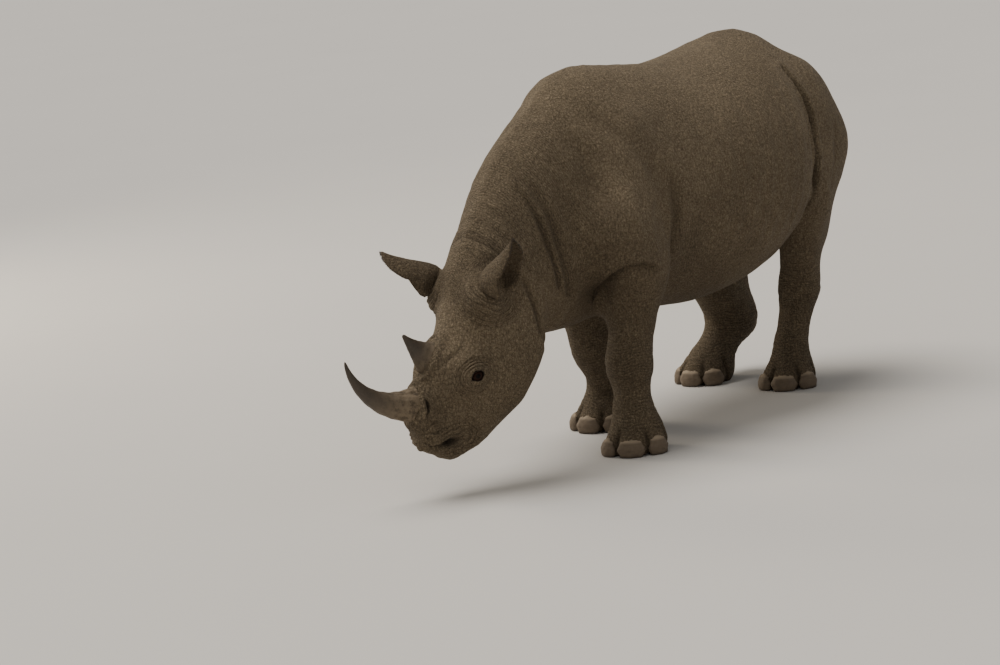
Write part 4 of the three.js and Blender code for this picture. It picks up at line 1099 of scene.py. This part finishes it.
def skin_finish(colours):
    """Dusty grey-brown hide with painted light on its upper faces: plates, fine wrinkles and cross lines, with
    painted shade in its folds, inside the ears and in the nostrils, mouth and eye openings.
    """
    m = Finish("hide")
    bent = m.warped(11.0, 0.018)
    head_bent = m.warped(26.0, 0.008)
    crease, collar = m.value_at("crease"), m.value_at("collar")
    rim, inner, foot = m.value_at("rim"), m.value_at("inner"), m.value_at("foot")
    plates = m.plates(92.0, m.stretched((1.0, 1.0, 0.66), bent))
    small = m.plates(200.0, m.stretched((1.0, 0.8, 1.0), head_bent))
    plate_rise = plates.between(0.0, 0.2)
    small_rise = small.between(0.0, 0.24)
    grain = m.noise(420.0, 2.0)
    broad = m.noise(24.0, 4.0)
    fray = m.noise(95.0, 3.0)
    wander = m.noise(26.0, 3.0, 0.55)
    fine = wrinkle_lines(m, "a", wander)
    fine = fine.maths("MAXIMUM", fine, wrinkle_lines(m, "b", wander)) * (0.5 + broad.between(0.35, 0.62) * 0.5)
    hatch = m.noise(1.0, 3.0, 0.6, m.stretched((150.0, 150.0, 46.0), head_bent)).between(0.4, 0.66)
    cross = m.noise(1.0, 3.0, 0.6, m.stretched((60.0, 60.0, 190.0), bent)).between(0.42, 0.68)
    height = plate_rise * 0.002 + small_rise * 0.001 + grain * 0.0008 + broad * 0.0018 + fray * 0.0016
    height = height + collar * fray * 0.006 - fine * 0.0028 + hatch * 0.0026 + cross * 0.0021
    dust = m.noise(2.4, 4.0, 0.6).between(0.32, 0.7)
    mottle = m.noise(17.0, 4.0, 0.6)
    stipple = m.noise(165.0, 2.0).between(0.36, 0.64)
    # Painted light and dust: lighter on upward faces, darker beneath and on the ears.
    share = dust * 0.2 + mottle * 0.24 + stipple * 0.24 + m.value_at("dusty") * 0.44 - 0.06
    base = m.blend(share, colour(colours.hide_dark), colour(colours.hide_light))
    lines = (1 - plate_rise) * 0.25 + (1 - small_rise) * 0.15 + (1 - hatch) * 0.25 + (1 - cross) * 0.22
    base = m.blend(lines, base, colour(colours.fold))
    base = m.blend(fine * 0.52, base, colour(colours.fold))
    # Painted shade in the creases and pits.
    base = m.blend(crease * 0.78, base, colour(colours.fold))
    base = m.blend(collar * fray.between(0.38, 0.66) * 0.55, base, colour(colours.fold))
    # Painted shade inside the ears.
    base = m.blend(inner * 0.12, base, colour(colours.ear_inside_shade))
    base = m.blend(foot * 0.22, base, colour(colours.fold))
    # Dark wet skin at the rims, and painted shade in the nostrils, the mouth's gap and the eye openings.
    base = m.blend(rim * 0.92, base, colour(colours.rim))
    rough = 0.76 + mottle * 0.16 - rim * 0.15
    return m.surface(Base_Color=base, Roughness=rough, Normal=m.bump(height), Specular_IOR_Level=0.3)


# ---------------------------------------------------------------- eyes, horns and nails

EYE_STEPS, EYE_SIDES = 40, 48
PUPIL, IRIS_STREAK, EYE_EDGE = (0.004, 0.003, 0.003, 1), (0.026, 0.011, 0.007, 1), (0.012, 0.007, 0.005, 1)
HORN_GRIME, HORN_FIBRE = (0.04, 0.028, 0.017, 1), (0.085, 0.068, 0.05, 1)
NAIL_SPECK, NAIL_LINE, NAIL_BOTTOM = (0.115, 0.085, 0.058, 1), (0.1, 0.078, 0.058, 1), (0.06, 0.048, 0.037, 1)


class RHINO_OT_eyes(bpy.types.Operator):
    """Dark wet eyeballs with a bulging cornea, deep between their lids"""

    bl_idname = "rhino.eyes"
    bl_label = "Eyes"

    def execute(self, context):
        material = eye_finish(context.scene.rhino_colours)
        for side in SIDES:
            middle, radius, out, long, high = eye_frame(side)
            radius *= 0.985
            ring = [2 * math.pi * k / EYE_SIDES for k in range(EYE_SIDES)]
            loops = []
            for step in range(1, EYE_STEPS):
                tilt = math.pi * step / EYE_STEPS
                bulge = radius * (1 + 0.045 * math.exp(-((tilt / 0.5) ** 2)))
                ways = [math.cos(a) * long + math.sin(a) * high for a in ring]
                loops.append([middle + bulge * (math.cos(tilt) * out + math.sin(tilt) * way) for way in ways])
            piece = link(loops_mesh(f"eyeball_{side}", loops), f"eyeball_{side}")
            offset = places(piece.data) - middle
            iris = lengths(np.stack([(offset @ long) * 0.9, offset @ high], 1)) / radius
            write_values(piece.data, "from_pupil", iris + (offset @ out < 0))
            finish(piece, material, "eye", f"eye_{side}")
        return {"FINISHED"}


def eye_finish(colours):
    """A black pupil in a deep brown iris, with a wet surface."""
    m = Finish("wet_eye")
    spread = m.value_at("from_pupil")
    streaks = m.noise(300.0, 3.0)
    iris = m.blend(streaks, colour(colours.eye), IRIS_STREAK)
    base = m.blend(spread.between(0.26, 0.32), PUPIL, iris)
    base = m.blend(spread.between(0.52, 0.6), base, EYE_EDGE)
    return m.surface(Base_Color=base, Roughness=0.16, IOR=1.36, Specular_IOR_Level=0.12)


class RHINO_OT_horns(bpy.types.Operator):
    """The two horns: fibrous and frayed at the base, worn smooth and dark towards the tip"""

    bl_idname = "rhino.horns"
    bl_label = "Horns"

    def execute(self, context):
        sizes = context.scene.rhino_horns
        material = horn_finish(context.scene.rhino_colours)
        for name, facts in HORNS.items():
            points, up = self.loops(facts, sizes)
            piece = link(loops_mesh(f"{name}_shaft", points), f"{name}_shaft")
            write_values(piece.data, "up_horn", self.height(places(piece.data), up))
            finish(piece, material, "horn", name)
        return {"FINISHED"}

    def height(self, points, middles):
        """How far up the horn each point is."""
        gaps = np.linalg.norm(points[:, None] - middles[None], axis=2)
        return np.argmin(gaps, axis=1) / (len(middles) - 1)

    def loops(self, facts, sizes):
        """Rings of points up the horn, and their middles."""
        y, z, length, radius, narrow, lean, bend, power, floor = facts
        rings, sides = sizes.rings, sizes.sides
        lean_turn = math.radians(lean)
        at = np.array([0.0, y - HORN_SUNK * math.sin(lean_turn), z - HORN_SUNK * math.cos(lean_turn)])
        loops, middles = [], []
        step = (length + HORN_SUNK) / (rings - 1)
        for ring in range(rings):
            t = ring / (rings - 1)
            angle = math.radians(lean + bend * (0.35 * t * t + 0.65 * t))
            along = np.array([0, math.sin(angle), math.cos(angle)])
            back = np.array([0, math.cos(angle), -math.sin(angle)])
            width = radius * ((1 - t) ** power * (1 - floor) + floor)
            width *= math.sqrt(max(1 - max((t - 0.955) / 0.045, 0) ** 2, 0.01))
            rough = sizes.fray * (1 - float(ramp(0.1, 0.55, t))) + 0.0004
            loop = []
            for side in range(sides):
                a = 2 * math.pi * side / sides
                fibre = noise.noise(Vector((math.cos(a) * 9, math.sin(a) * 9, t * 2.2 + y)))
                shred = noise.noise(Vector((math.cos(a) * 22, math.sin(a) * 22, t * 9 + y)))
                girth = width + rough * (fibre + 0.7 * shred) + 0.0012 * math.sin(t * 46 + fibre) * (1 - t)
                place_at = at + girth * (math.cos(a) * narrow * np.array([1.0, 0, 0]) + math.sin(a) * back)
                loop.append(from_head(place_at))
            loops.append(loop)
            middles.append(from_head(at))
            at = at + along * step
        return loops, np.array(middles)


def horn_finish(colours):
    """Dark horn: grey mottled fibres at the base, nearly black and smoother at the tip."""
    m = Finish("horn")
    up = m.value_at("up_horn")
    fibres = m.noise(1.0, 4.0, 0.6, m.stretched((210.0, 60.0, 60.0)))
    patches = m.noise(38.0, 4.0, 0.65)
    low = 1 - up.between(0.14, 0.66)
    base = m.blend(low * 0.75 + patches * 0.25, colour(colours.horn_tip), colour(colours.horn_base))
    base = m.blend((1 - patches.between(0.38, 0.56)) * low * 0.7, base, HORN_GRIME)
    base = m.blend(fibres.between(0.45, 0.75) * 0.35, base, HORN_FIBRE)
    height = fibres * 0.0014 + patches * low * 0.006
    rough = 0.46 + low * 0.34 + fibres * 0.08
    return m.surface(Base_Color=base, Roughness=rough, Normal=m.bump(height), Specular_IOR_Level=0.4)


class RHINO_OT_toenails(bpy.types.Operator):
    """Three broad domed nails on each foot"""

    bl_idname = "rhino.toenails"
    bl_label = "Toenails"

    def execute(self, context):
        sizes = context.scene.rhino_nails
        material = nail_finish(context.scene.rhino_colours)
        for foot in FEET:
            for toe in TOES:
                name = f"toenail_{foot}_{toe}"
                piece = link(plain_copy(f"nail_{foot}_{toe}", [name]), f"nail_{foot}_{toe}")
                remeshed(piece, sizes.grid)
                net = Net(piece.data)
                points = net.relaxed(places(piece.data), 12)
                middle = points.mean(axis=0)
                points = middle + (points - middle) * sizes.broad
                place(piece.data, points)
                points = points + facing(piece.data) * sizes.proud
                wear = np.array([noise.noise(Vector(p) * 45) for p in points])
                points = points + facing(piece.data) * (wear * 0.0012)[:, None]
                points[:, 2] = np.maximum(points[:, 2], 0.001)
                place(piece.data, points)
                write_values(piece.data, "up_nail", points[:, 2] / points[:, 2].max())
                piece.data.shade_smooth()
                finish(piece, material, "nail", name)
        return {"FINISHED"}


def nail_finish(colours):
    """Greyish tan nail with level growth lines and a pale rim, darker towards the floor."""
    m = Finish("nail")
    up = m.value_at("up_nail")
    lines = m.noise(1.0, 3.0, 0.5, m.stretched((26.0, 26.0, 230.0)))
    specks = m.noise(70.0, 4.0, 0.6)
    base = m.blend(specks, colour(colours.nail), NAIL_SPECK)
    base = m.blend(lines.between(0.4, 0.7) * 0.35, base, NAIL_LINE)
    base = m.blend(up.between(0.74, 0.92) * 0.85, base, colour(colours.nail_rim))
    base = m.blend((1 - up.between(0.02, 0.22)) * 0.7, base, NAIL_BOTTOM)
    height = lines * 0.0014 + specks * 0.001
    rough = 0.62 + specks * 0.2
    return m.surface(Base_Color=base, Roughness=rough, Normal=m.bump(height), Specular_IOR_Level=0.35)


# ---------------------------------------------------------------- hair

BRISTLE_STEPS, BRISTLE_SIDES = 6, 3
BRISTLE_TIP = 0.12  # width of a bristle at its tip, as a share of its root
HAIR_DUST = (0.07, 0.052, 0.038, 1)
BAKE_PATCH = 0.003  # size of one bristle's patch on the OFBake map
HAIR_DRAWS, HAIR_SEED = 11, 3  # seeds of the roots and of the tree
TAIL_LOWEST = 0.585  # height of the lowest bristle tip
LASH_WIDTH = 0.00045


class Sprouts(Nodes):
    """A Geometry Nodes tree that grows one bent, tapered bristle from every point, along the point's lie."""

    def __init__(self, name):
        self.tree = bpy.data.node_groups.new(name, "GeometryNodeTree")
        face = self.tree.interface
        face.new_socket("Roots", in_out="INPUT", socket_type="NodeSocketGeometry")
        self.inputs = {}
        for title, kind in (("Bend", "Float"), ("Seed", "Int"), ("Finish", "Material")):
            made = face.new_socket(title, in_out="INPUT", socket_type="NodeSocket" + kind)
            self.inputs[title] = made.identifier
        face.new_socket("Bristles", in_out="OUTPUT", socket_type="NodeSocketGeometry")
        self.build()

    def named(self, name, kind):
        """A value kept at the points."""
        return self.result("GeometryNodeInputNamedAttribute", {"data_type": kind}, {"Name": name})

    def build(self):
        """Makes the tree: a bent tube on every point, turned along its lie, realised and given its finish."""
        given = self.node("NodeGroupInput").outputs
        line = self.result("GeometryNodeCurvePrimitiveLine", None, {"End": (0.0, 0.0, 1.0)})
        fine = self.result("GeometryNodeResampleCurve", None, {"Curve": line, "Count": BRISTLE_STEPS})
        along = self.result("GeometryNodeSplineParameter", output="Factor")
        thin = self.result("ShaderNodeMapRange", None, {"Value": along, "To Min": 1.0, "To Max": BRISTLE_TIP})
        shaped = self.result("GeometryNodeSetCurveRadius", None, {"Curve": fine, "Radius": thin})
        circle = {"Resolution": BRISTLE_SIDES, "Radius": 1.0}
        profile = self.result("GeometryNodeCurvePrimitiveCircle", None, circle)
        sweep = {"Curve": shaped, "Profile Curve": profile, "Fill Caps": True}
        tube = self.result("GeometryNodeCurveToMesh", None, sweep)
        rise = self.result("ShaderNodeSeparateXYZ", None, {0: self.result("GeometryNodeInputPosition")}, "Z")
        square = self.result("ShaderNodeMath", {"operation": "POWER"}, {0: rise, 1: 2.0})
        bend = self.result("ShaderNodeMath", {"operation": "MULTIPLY"}, {0: square, 1: given["Bend"]})
        offset = self.result("ShaderNodeCombineXYZ", None, {"X": bend})
        bent = self.result("GeometryNodeSetPosition", None, {"Geometry": tube, "Offset": offset})
        smooth = self.result("GeometryNodeSetShadeSmooth", None, {"Geometry": bent})
        lie = self.named("lie", "FLOAT_VECTOR")
        aim = self.result("FunctionNodeAlignRotationToVector", {"axis": "Z"}, {"Vector": lie})
        turns = {2: 0.0, 3: 2 * math.pi, "Seed": given["Seed"]}
        spin = self.result("FunctionNodeRandomValue", {"data_type": "FLOAT"}, turns, 1)
        roll = self.result("FunctionNodeAxisAngleToRotation", None, {"Axis": (0.0, 0.0, 1.0), "Angle": spin})
        both = {"Rotation": aim, "Rotate By": roll}
        turned = self.result("FunctionNodeRotateRotation", {"rotation_space": "LOCAL"}, both)
        width, reach = self.named("width", "FLOAT"), self.named("reach", "FLOAT")
        size = self.result("ShaderNodeCombineXYZ", None, {"X": width, "Y": width, "Z": reach})
        sowing = {"Points": given["Roots"], "Instance": smooth, "Rotation": turned, "Scale": size}
        sown = self.result("GeometryNodeInstanceOnPoints", None, sowing)
        real = self.result("GeometryNodeRealizeInstances", None, {"Geometry": sown})
        dressed = self.result("GeometryNodeSetMaterial", None, {"Geometry": real, "Material": given["Finish"]})
        self.node("NodeGroupOutput", None, {"Bristles": dressed})

    def grown(self, name, rows, bend, material):
        """Grows a bristle from each row, as one plain mesh with a small patch of the OFBake map each."""
        roots, lies, reaches, widths, patches = zip(*rows)
        mesh = bpy.data.meshes.new(name)
        mesh.from_pydata([tuple(p) for p in roots], [], [])
        lie = mesh.attributes.new("lie", "FLOAT_VECTOR", "POINT")
        lie.data.foreach_set("vector", np.asarray(lies, np.float32).ravel())
        write_values(mesh, "reach", reaches)
        write_values(mesh, "width", widths)
        piece = link(mesh, name)
        modifier = piece.modifiers.new("sprouts", "NODES")
        modifier.node_group = self.tree
        for title, value in (("Bend", bend), ("Seed", HAIR_SEED), ("Finish", material)):
            modifier[self.inputs[title]] = value
        applied(piece)
        self.unwrapped(piece.data, patches)
        return piece

    def unwrapped(self, mesh, roots):
        """Sets each bristle's patch at its root's place on the unwrapped skin."""
        each = BRISTLE_STEPS * BRISTLE_SIDES
        if len(mesh.vertices) != each * len(roots):
            raise RuntimeError("The bristles don't match their roots")
        corners = np.empty(len(mesh.loops), np.int32)
        mesh.loops.foreach_get("vertex_index", corners)
        bristle, part = corners // each, corners % each
        step, side = part // BRISTLE_SIDES, part % BRISTLE_SIDES
        patch = np.stack([side / BRISTLE_SIDES, step / BRISTLE_STEPS], 1) * BAKE_PATCH
        mesh.uv_layers.new(name="OFBake").data.foreach_set("uv", (np.asarray(roots)[bristle] + patch).ravel())


def hair_finish(colours):
    """Coarse dark hair, a little lighter where dust lies on it."""
    m = Finish("bristle")
    dust = m.noise(60.0, 3.0)
    base = m.blend(dust, colour(colours.hair), HAIR_DUST)
    return m.surface(Base_Color=base, Roughness=0.5 + dust * 0.3, Specular_IOR_Level=0.4)


class RHINO_OT_hair(bpy.types.Operator):
    """The bristles at the end of the tail, the fringe of each ear and the lashes"""

    bl_idname = "rhino.hair"
    bl_label = "Tail bristles, ear fringe and lashes"

    def execute(self, context):
        sizes = context.scene.rhino_hair
        material = hair_finish(context.scene.rhino_colours)
        sprouts = Sprouts("bristles")
        rng = np.random.default_rng(HAIR_DRAWS)
        for name, grow in (("tail_bristles", self.tail), ("ear_fringe", self.fringe), ("lashes", self.lashes)):
            finish(sprouts.grown(name, list(grow(rng, sizes)), sizes.bend, material), material, "skin")
        return {"FINISHED"}

    def tail(self, rng, sizes):
        """Bristles from the tail's end, in two rows and round its tip, within the reach of the solids."""
        middles, radii, along = tail_frames(120)
        hindmost = CAD_BOX[1][1] - 0.012
        for _ in range(sizes.tail_count):
            t = 0.6 + 0.395 * rng.random() ** 0.75
            k = min(int(t * 119), 118)
            down = unit(np.cross(along[k], [1.0, 0, 0]))
            row = rng.choice([0.5, 1.5]) * math.pi if rng.random() < 0.62 else 2 * math.pi * rng.random()
            a = row + 0.42 * rng.standard_normal()
            side = math.cos(a) * np.array([1.0, 0, 0]) + TAIL_FLAT * math.sin(a) * down
            root = middles[k] + side * radii[k] * 0.9
            lie = unit(along[k] * 1.0 + side * (0.16 + 0.2 * rng.random()) + [0, 0, -0.3])
            reach = sizes.tail_length * (0.45 + 0.55 * t) * rng.uniform(0.65, 1.0)
            room = max((hindmost - root[1]) / reach, -0.5)
            if lie[1] > room:
                rest = math.sqrt(1 - room**2) / math.hypot(lie[0], lie[2])
                lie = np.array([lie[0] * rest, room, lie[2] * rest])
            if root[2] + lie[2] * reach < TAIL_LOWEST:
                reach = max((root[2] - TAIL_LOWEST) / -lie[2], 0.02)
            patch = (0.02 + 0.3 * ((a / (2 * math.pi)) % 1), 0.02 + 0.9 * t)
            yield root, lie, reach, rng.uniform(0.0011, 0.002), patch

    def fringe(self, rng, sizes):
        """Short hairs on the edge of each ear, longest at its tip."""
        for number, side in enumerate(SIDES):
            up = ear_axes(side)[3]
            for _ in range(sizes.fringe_count):
                along = 1 - 0.78 * rng.random() ** 1.5
                edge = rng.choice([-1, 1])
                around = edge * (1 - 0.1 * rng.random())
                place_at = on_ear(side, ear_point(min(along, 0.985), around, 0.003))
                inner = on_ear(side, ear_point(max(min(along, 0.985) - 0.05, 0), edge * 0.6, 0.003))
                lie = unit(unit(place_at - inner) * 0.8 + up * 0.7 + 0.16 * rng.standard_normal(3))
                reach = sizes.fringe_length * (0.45 + 0.55 * along**2) * rng.uniform(0.6, 1.0)
                patch = (0.4 + 0.25 * number + 0.2 * (0.5 + 0.5 * around), 0.05 + 0.85 * along)
                yield place_at - lie * 0.002, lie, reach, rng.uniform(0.0005, 0.0008), patch

    def lashes(self, rng, sizes):
        """Short lashes on the upper lids."""
        opening = bpy.context.scene.rhino_skin.eye_opening
        for number, side in enumerate(SIDES):
            middle, radius, out, long, high = eye_frame(side)
            for _ in range(sizes.lash_count):
                a = math.radians(rng.uniform(25, 155))
                x, y = math.cos(a) * opening * 1.02, math.sin(a) * opening * 0.7
                rise = math.sqrt(max((radius + 0.003) ** 2 - x * x - y * y, 0))
                lie = unit(out * 0.9 + high * 0.55 + long * 0.5 * math.cos(a) + 0.1 * rng.standard_normal(3))
                reach = sizes.lash_length * rng.uniform(0.6, 1.0)
                patch = (0.92 + 0.03 * number, 0.1 + 0.8 * a / math.pi)
                yield middle + x * long + y * high + rise * out, lie, reach, LASH_WIDTH, patch


# ---------------------------------------------------------------- stage

CAMERA_TURN = (37.8, 9.69, -5.97)  # azimuth, elevation and roll in degrees
FLOOR_SIDES, FLOOR_REACHES = 64, (0.01, 8.0, 40.0, 60.0)
# Name, kind, place, size or angle, and colour of each light. Its power is a field of the stage.
LIGHTS = (
    ("sun", "SUN", (-2.9, -0.6, 9.0), math.radians(42), (1.0, 0.94, 0.86)),
    ("fill", "AREA", (6.5, -7.0, 4.0), 6.0, (1.0, 0.96, 0.91)),
    ("side", "AREA", (-8.5, 0.5, 2.6), 3.0, (1.0, 0.86, 0.66)),
)
LOOKED_AT = (0, 0, 0.8)  # what the lights point at


class RHINO_OT_stage(bpy.types.Operator):
    """A pale floor, soft studio lights and the camera"""

    bl_idname = "rhino.stage"
    bl_label = "Stage"

    def execute(self, context):
        stage = context.scene.rhino_stage
        self.floor(stage)
        self.lights(stage)
        self.camera(context, stage)
        return {"FINISHED"}

    def floor(self, stage):
        turns = [2 * math.pi * k / FLOOR_SIDES for k in range(FLOOR_SIDES)]
        points = [(reach * math.cos(a), reach * math.sin(a), 0.0) for reach in FLOOR_REACHES for a in turns]
        faces = [tuple(range(FLOOR_SIDES))] + ring_faces(len(FLOOR_REACHES), FLOOR_SIDES)
        mesh = bpy.data.meshes.new("floor")
        mesh.from_pydata(points, [], faces)
        floor = link(mesh, "floor")
        for polygon in mesh.polygons:
            if polygon.normal.z < 0:
                polygon.flip()
        m = Finish("pale_floor")
        cloud = m.noise(0.8, 3.0)
        base = m.blend(cloud, colour(stage.floor), tuple(c * 0.96 for c in stage.floor) + (1,))
        mesh.materials.append(m.surface(Base_Color=base, Roughness=0.85, Specular_IOR_Level=0.2))

    def lights(self, stage):
        world = bpy.data.worlds.new("studio")
        bpy.context.scene.world = world
        world.use_nodes = True
        sky = world.node_tree.nodes["Background"]
        sky.inputs["Color"].default_value = (0.92, 0.9, 0.87, 1)
        sky.inputs["Strength"].default_value = stage.sky
        for name, kind, place_at, size, shade in LIGHTS:
            light = bpy.data.lights.new(name, kind)
            if kind == "SUN":
                light.angle = size
            else:
                light.shape = "DISK"
                light.size = size
            light.energy = getattr(stage, name)
            light.color = shade
            lamp = link(light, name)
            lamp.location = place_at
            lamp.rotation_euler = (Vector(LOOKED_AT) - Vector(place_at)).to_track_quat("-Z", "Y").to_euler()

    def camera(self, context, stage):
        azimuth, elevation, roll = (math.radians(a) for a in CAMERA_TURN)
        back = np.array([math.sin(azimuth) * math.cos(elevation), -math.cos(azimuth) * math.cos(elevation),
                         math.sin(elevation)])
        level = np.array([math.cos(azimuth), math.sin(azimuth), 0])
        upright = np.cross(back, level)
        right = level * math.cos(roll) + upright * math.sin(roll)
        up = np.cross(back, right)
        data = bpy.data.cameras.new("camera")
        data.sensor_width = 36
        data.lens = stage.lens
        data.clip_end = 200
        camera = link(data, "camera")
        at = np.array(stage.camera)
        rows = np.eye(4)
        rows[:3, 0], rows[:3, 1], rows[:3, 2], rows[:3, 3] = right, up, back, at
        camera.matrix_world = Matrix(rows.tolist())
        context.scene.camera = camera


# ---------------------------------------------------------------- sizes and colours

def length(name, description, default, **limits):
    """A length in metres."""
    return FloatProperty(name=name, description=description, default=default, unit="LENGTH", **limits)


def count_of(name, description, default, least):
    """A whole number."""
    return IntProperty(name=name, description=description, default=default, min=least)


def amount(name, description, default):
    """A number without a unit, or in the unit that its description names."""
    return FloatProperty(name=name, description=description, default=default)


def tint(name, description, default):
    """A colour."""
    return FloatVectorProperty(name=name, description=description, default=default, subtype="COLOR")


class RhinoSkin(bpy.types.PropertyGroup):
    grid: length("Grid", "Size of the skin's faces", 0.0172, min=0.008)
    smoothing: count_of("Smoothing", "Rounds of smoothing of the plain forms", 9, 0)
    eye_opening: length("Eye opening", "Half the length of the gap between the lids", 0.0238)
    lid: length("Lid", "Thickness of the lids", 0.0055)


class RhinoHorns(bpy.types.PropertyGroup):
    rings: count_of("Rings", "Rings of faces along a horn", 110, 20)
    sides: count_of("Sides", "Faces round a horn", 84, 12)
    fray: length("Fray", "Depth of the shreds at a horn's base", 0.0042)


class RhinoNails(bpy.types.PropertyGroup):
    grid: length("Grid", "Size of a nail's faces", 0.004, min=0.002)
    proud: length("Proud", "How far a nail stands out of its toe", 0.002)
    broad: amount("Broad", "How much larger a nail is than its plain form", 1.14)


class RhinoHair(bpy.types.PropertyGroup):
    tail_count: count_of("Tail bristles", "Number of bristles on the tail", 900, 10)
    tail_length: length("Tail length", "Longest bristle of the tail", 0.17)
    fringe_count: count_of("Ear hairs", "Number of hairs on the edge of an ear", 340, 10)
    fringe_length: length("Ear hair length", "Longest hair of an ear", 0.014)
    lash_count: count_of("Lashes", "Number of lashes on an eye", 46, 4)
    lash_length: length("Lash length", "Longest lash", 0.017)
    bend: amount("Bend", "How far a bristle bends, in its own widths", 5.0)


class RhinoColours(bpy.types.PropertyGroup):
    # The light end of the hide holds dust and mottling, and painted light on the upper faces.
    hide_light: tint("Dusty hide", "Lightest colour of the hide", (0.43, 0.338, 0.218))
    hide_dark: tint("Hide", "Darkest colour of the open hide", (0.098, 0.07, 0.04))
    # The fold colour is also the colour of the painted shade in creases and pits.
    fold: tint("Folds", "Colour in the folds and lines", (0.04, 0.027, 0.015))
    # Dark wet skin, and painted shade in the nostrils, the mouth's gap and the eye openings.
    rim: tint("Rims", "Wet skin round the eyes, mouth and nostrils", (0.012, 0.008, 0.006))
    # Painted shade inside the ears.
    ear_inside_shade: tint("Inside of the ears", "Bare skin in the ears", (0.06, 0.04, 0.028))
    horn_base: tint("Horn base", "Horn near the head", (0.2, 0.152, 0.098))
    horn_tip: tint("Horn tip", "Horn at its tip", (0.034, 0.025, 0.018))
    nail: tint("Nails", "Toenails", (0.185, 0.142, 0.097))
    nail_rim: tint("Nail rim", "Pale rim above a nail", (0.36, 0.285, 0.2))
    eye: tint("Eyes", "Iris", (0.015, 0.007, 0.005))
    hair: tint("Hair", "Bristles and fringe", (0.03, 0.021, 0.015))


class RhinoStage(bpy.types.PropertyGroup):
    floor: tint("Floor", "Colour of the floor", (0.66, 0.645, 0.62))
    sky: amount("Sky", "Strength of the even light", 0.36)
    sun: amount("Sun", "Strength of the broad light from above", 2.7)
    fill: amount("Fill light", "Light from the viewer's side, in watts", 50.0)
    side: amount("Side light", "Low warm light on the far side, in watts", 260.0)
    camera: FloatVectorProperty(
        name="Camera", description="Place of the camera, in metres", default=(8.2625, -11.426, 2.8659)
    )
    lens: amount("Lens", "Focal length in millimetres", 128.93)


GROUPS = {
    "rhino_skin": RhinoSkin, "rhino_horns": RhinoHorns, "rhino_nails": RhinoNails, "rhino_hair": RhinoHair,
    "rhino_colours": RhinoColours, "rhino_stage": RhinoStage,
}
STEPS = (RHINO_OT_stage, RHINO_OT_skin, RHINO_OT_eyes, RHINO_OT_horns, RHINO_OT_toenails, RHINO_OT_hair)


class RHINO_PT_panel(bpy.types.Panel):
    """Lists the sizes and the steps"""

    bl_idname = "RHINO_PT_panel"
    bl_label = "Black rhinoceros"
    bl_space_type = "VIEW_3D"
    bl_region_type = "UI"
    bl_category = "Rhinoceros"

    def draw(self, context):
        for step in STEPS:
            self.layout.operator(step.bl_idname)
        for name, group in GROUPS.items():
            box = self.layout.box()
            box.label(text=name.replace("_", " ").capitalize())
            for field in group.__annotations__:
                box.prop(getattr(context.scene, name), field)


CLASSES = tuple(GROUPS.values()) + STEPS + (RHINO_PT_panel,)


def register():
    for each in CLASSES:
        bpy.utils.register_class(each)
    for name, group in GROUPS.items():
        setattr(bpy.types.Scene, name, PointerProperty(type=group))


def unregister():
    for name in GROUPS:
        delattr(bpy.types.Scene, name)
    for each in reversed(CLASSES):
        bpy.utils.unregister_class(each)


def main():
    register()
    bpy.ops.rhino.stage()
    bpy.ops.rhino.skin()
    bpy.ops.rhino.eyes()
    bpy.ops.rhino.horns()
    bpy.ops.rhino.toenails()
    bpy.ops.rhino.hair()


if __name__ == "__main__":
    main()
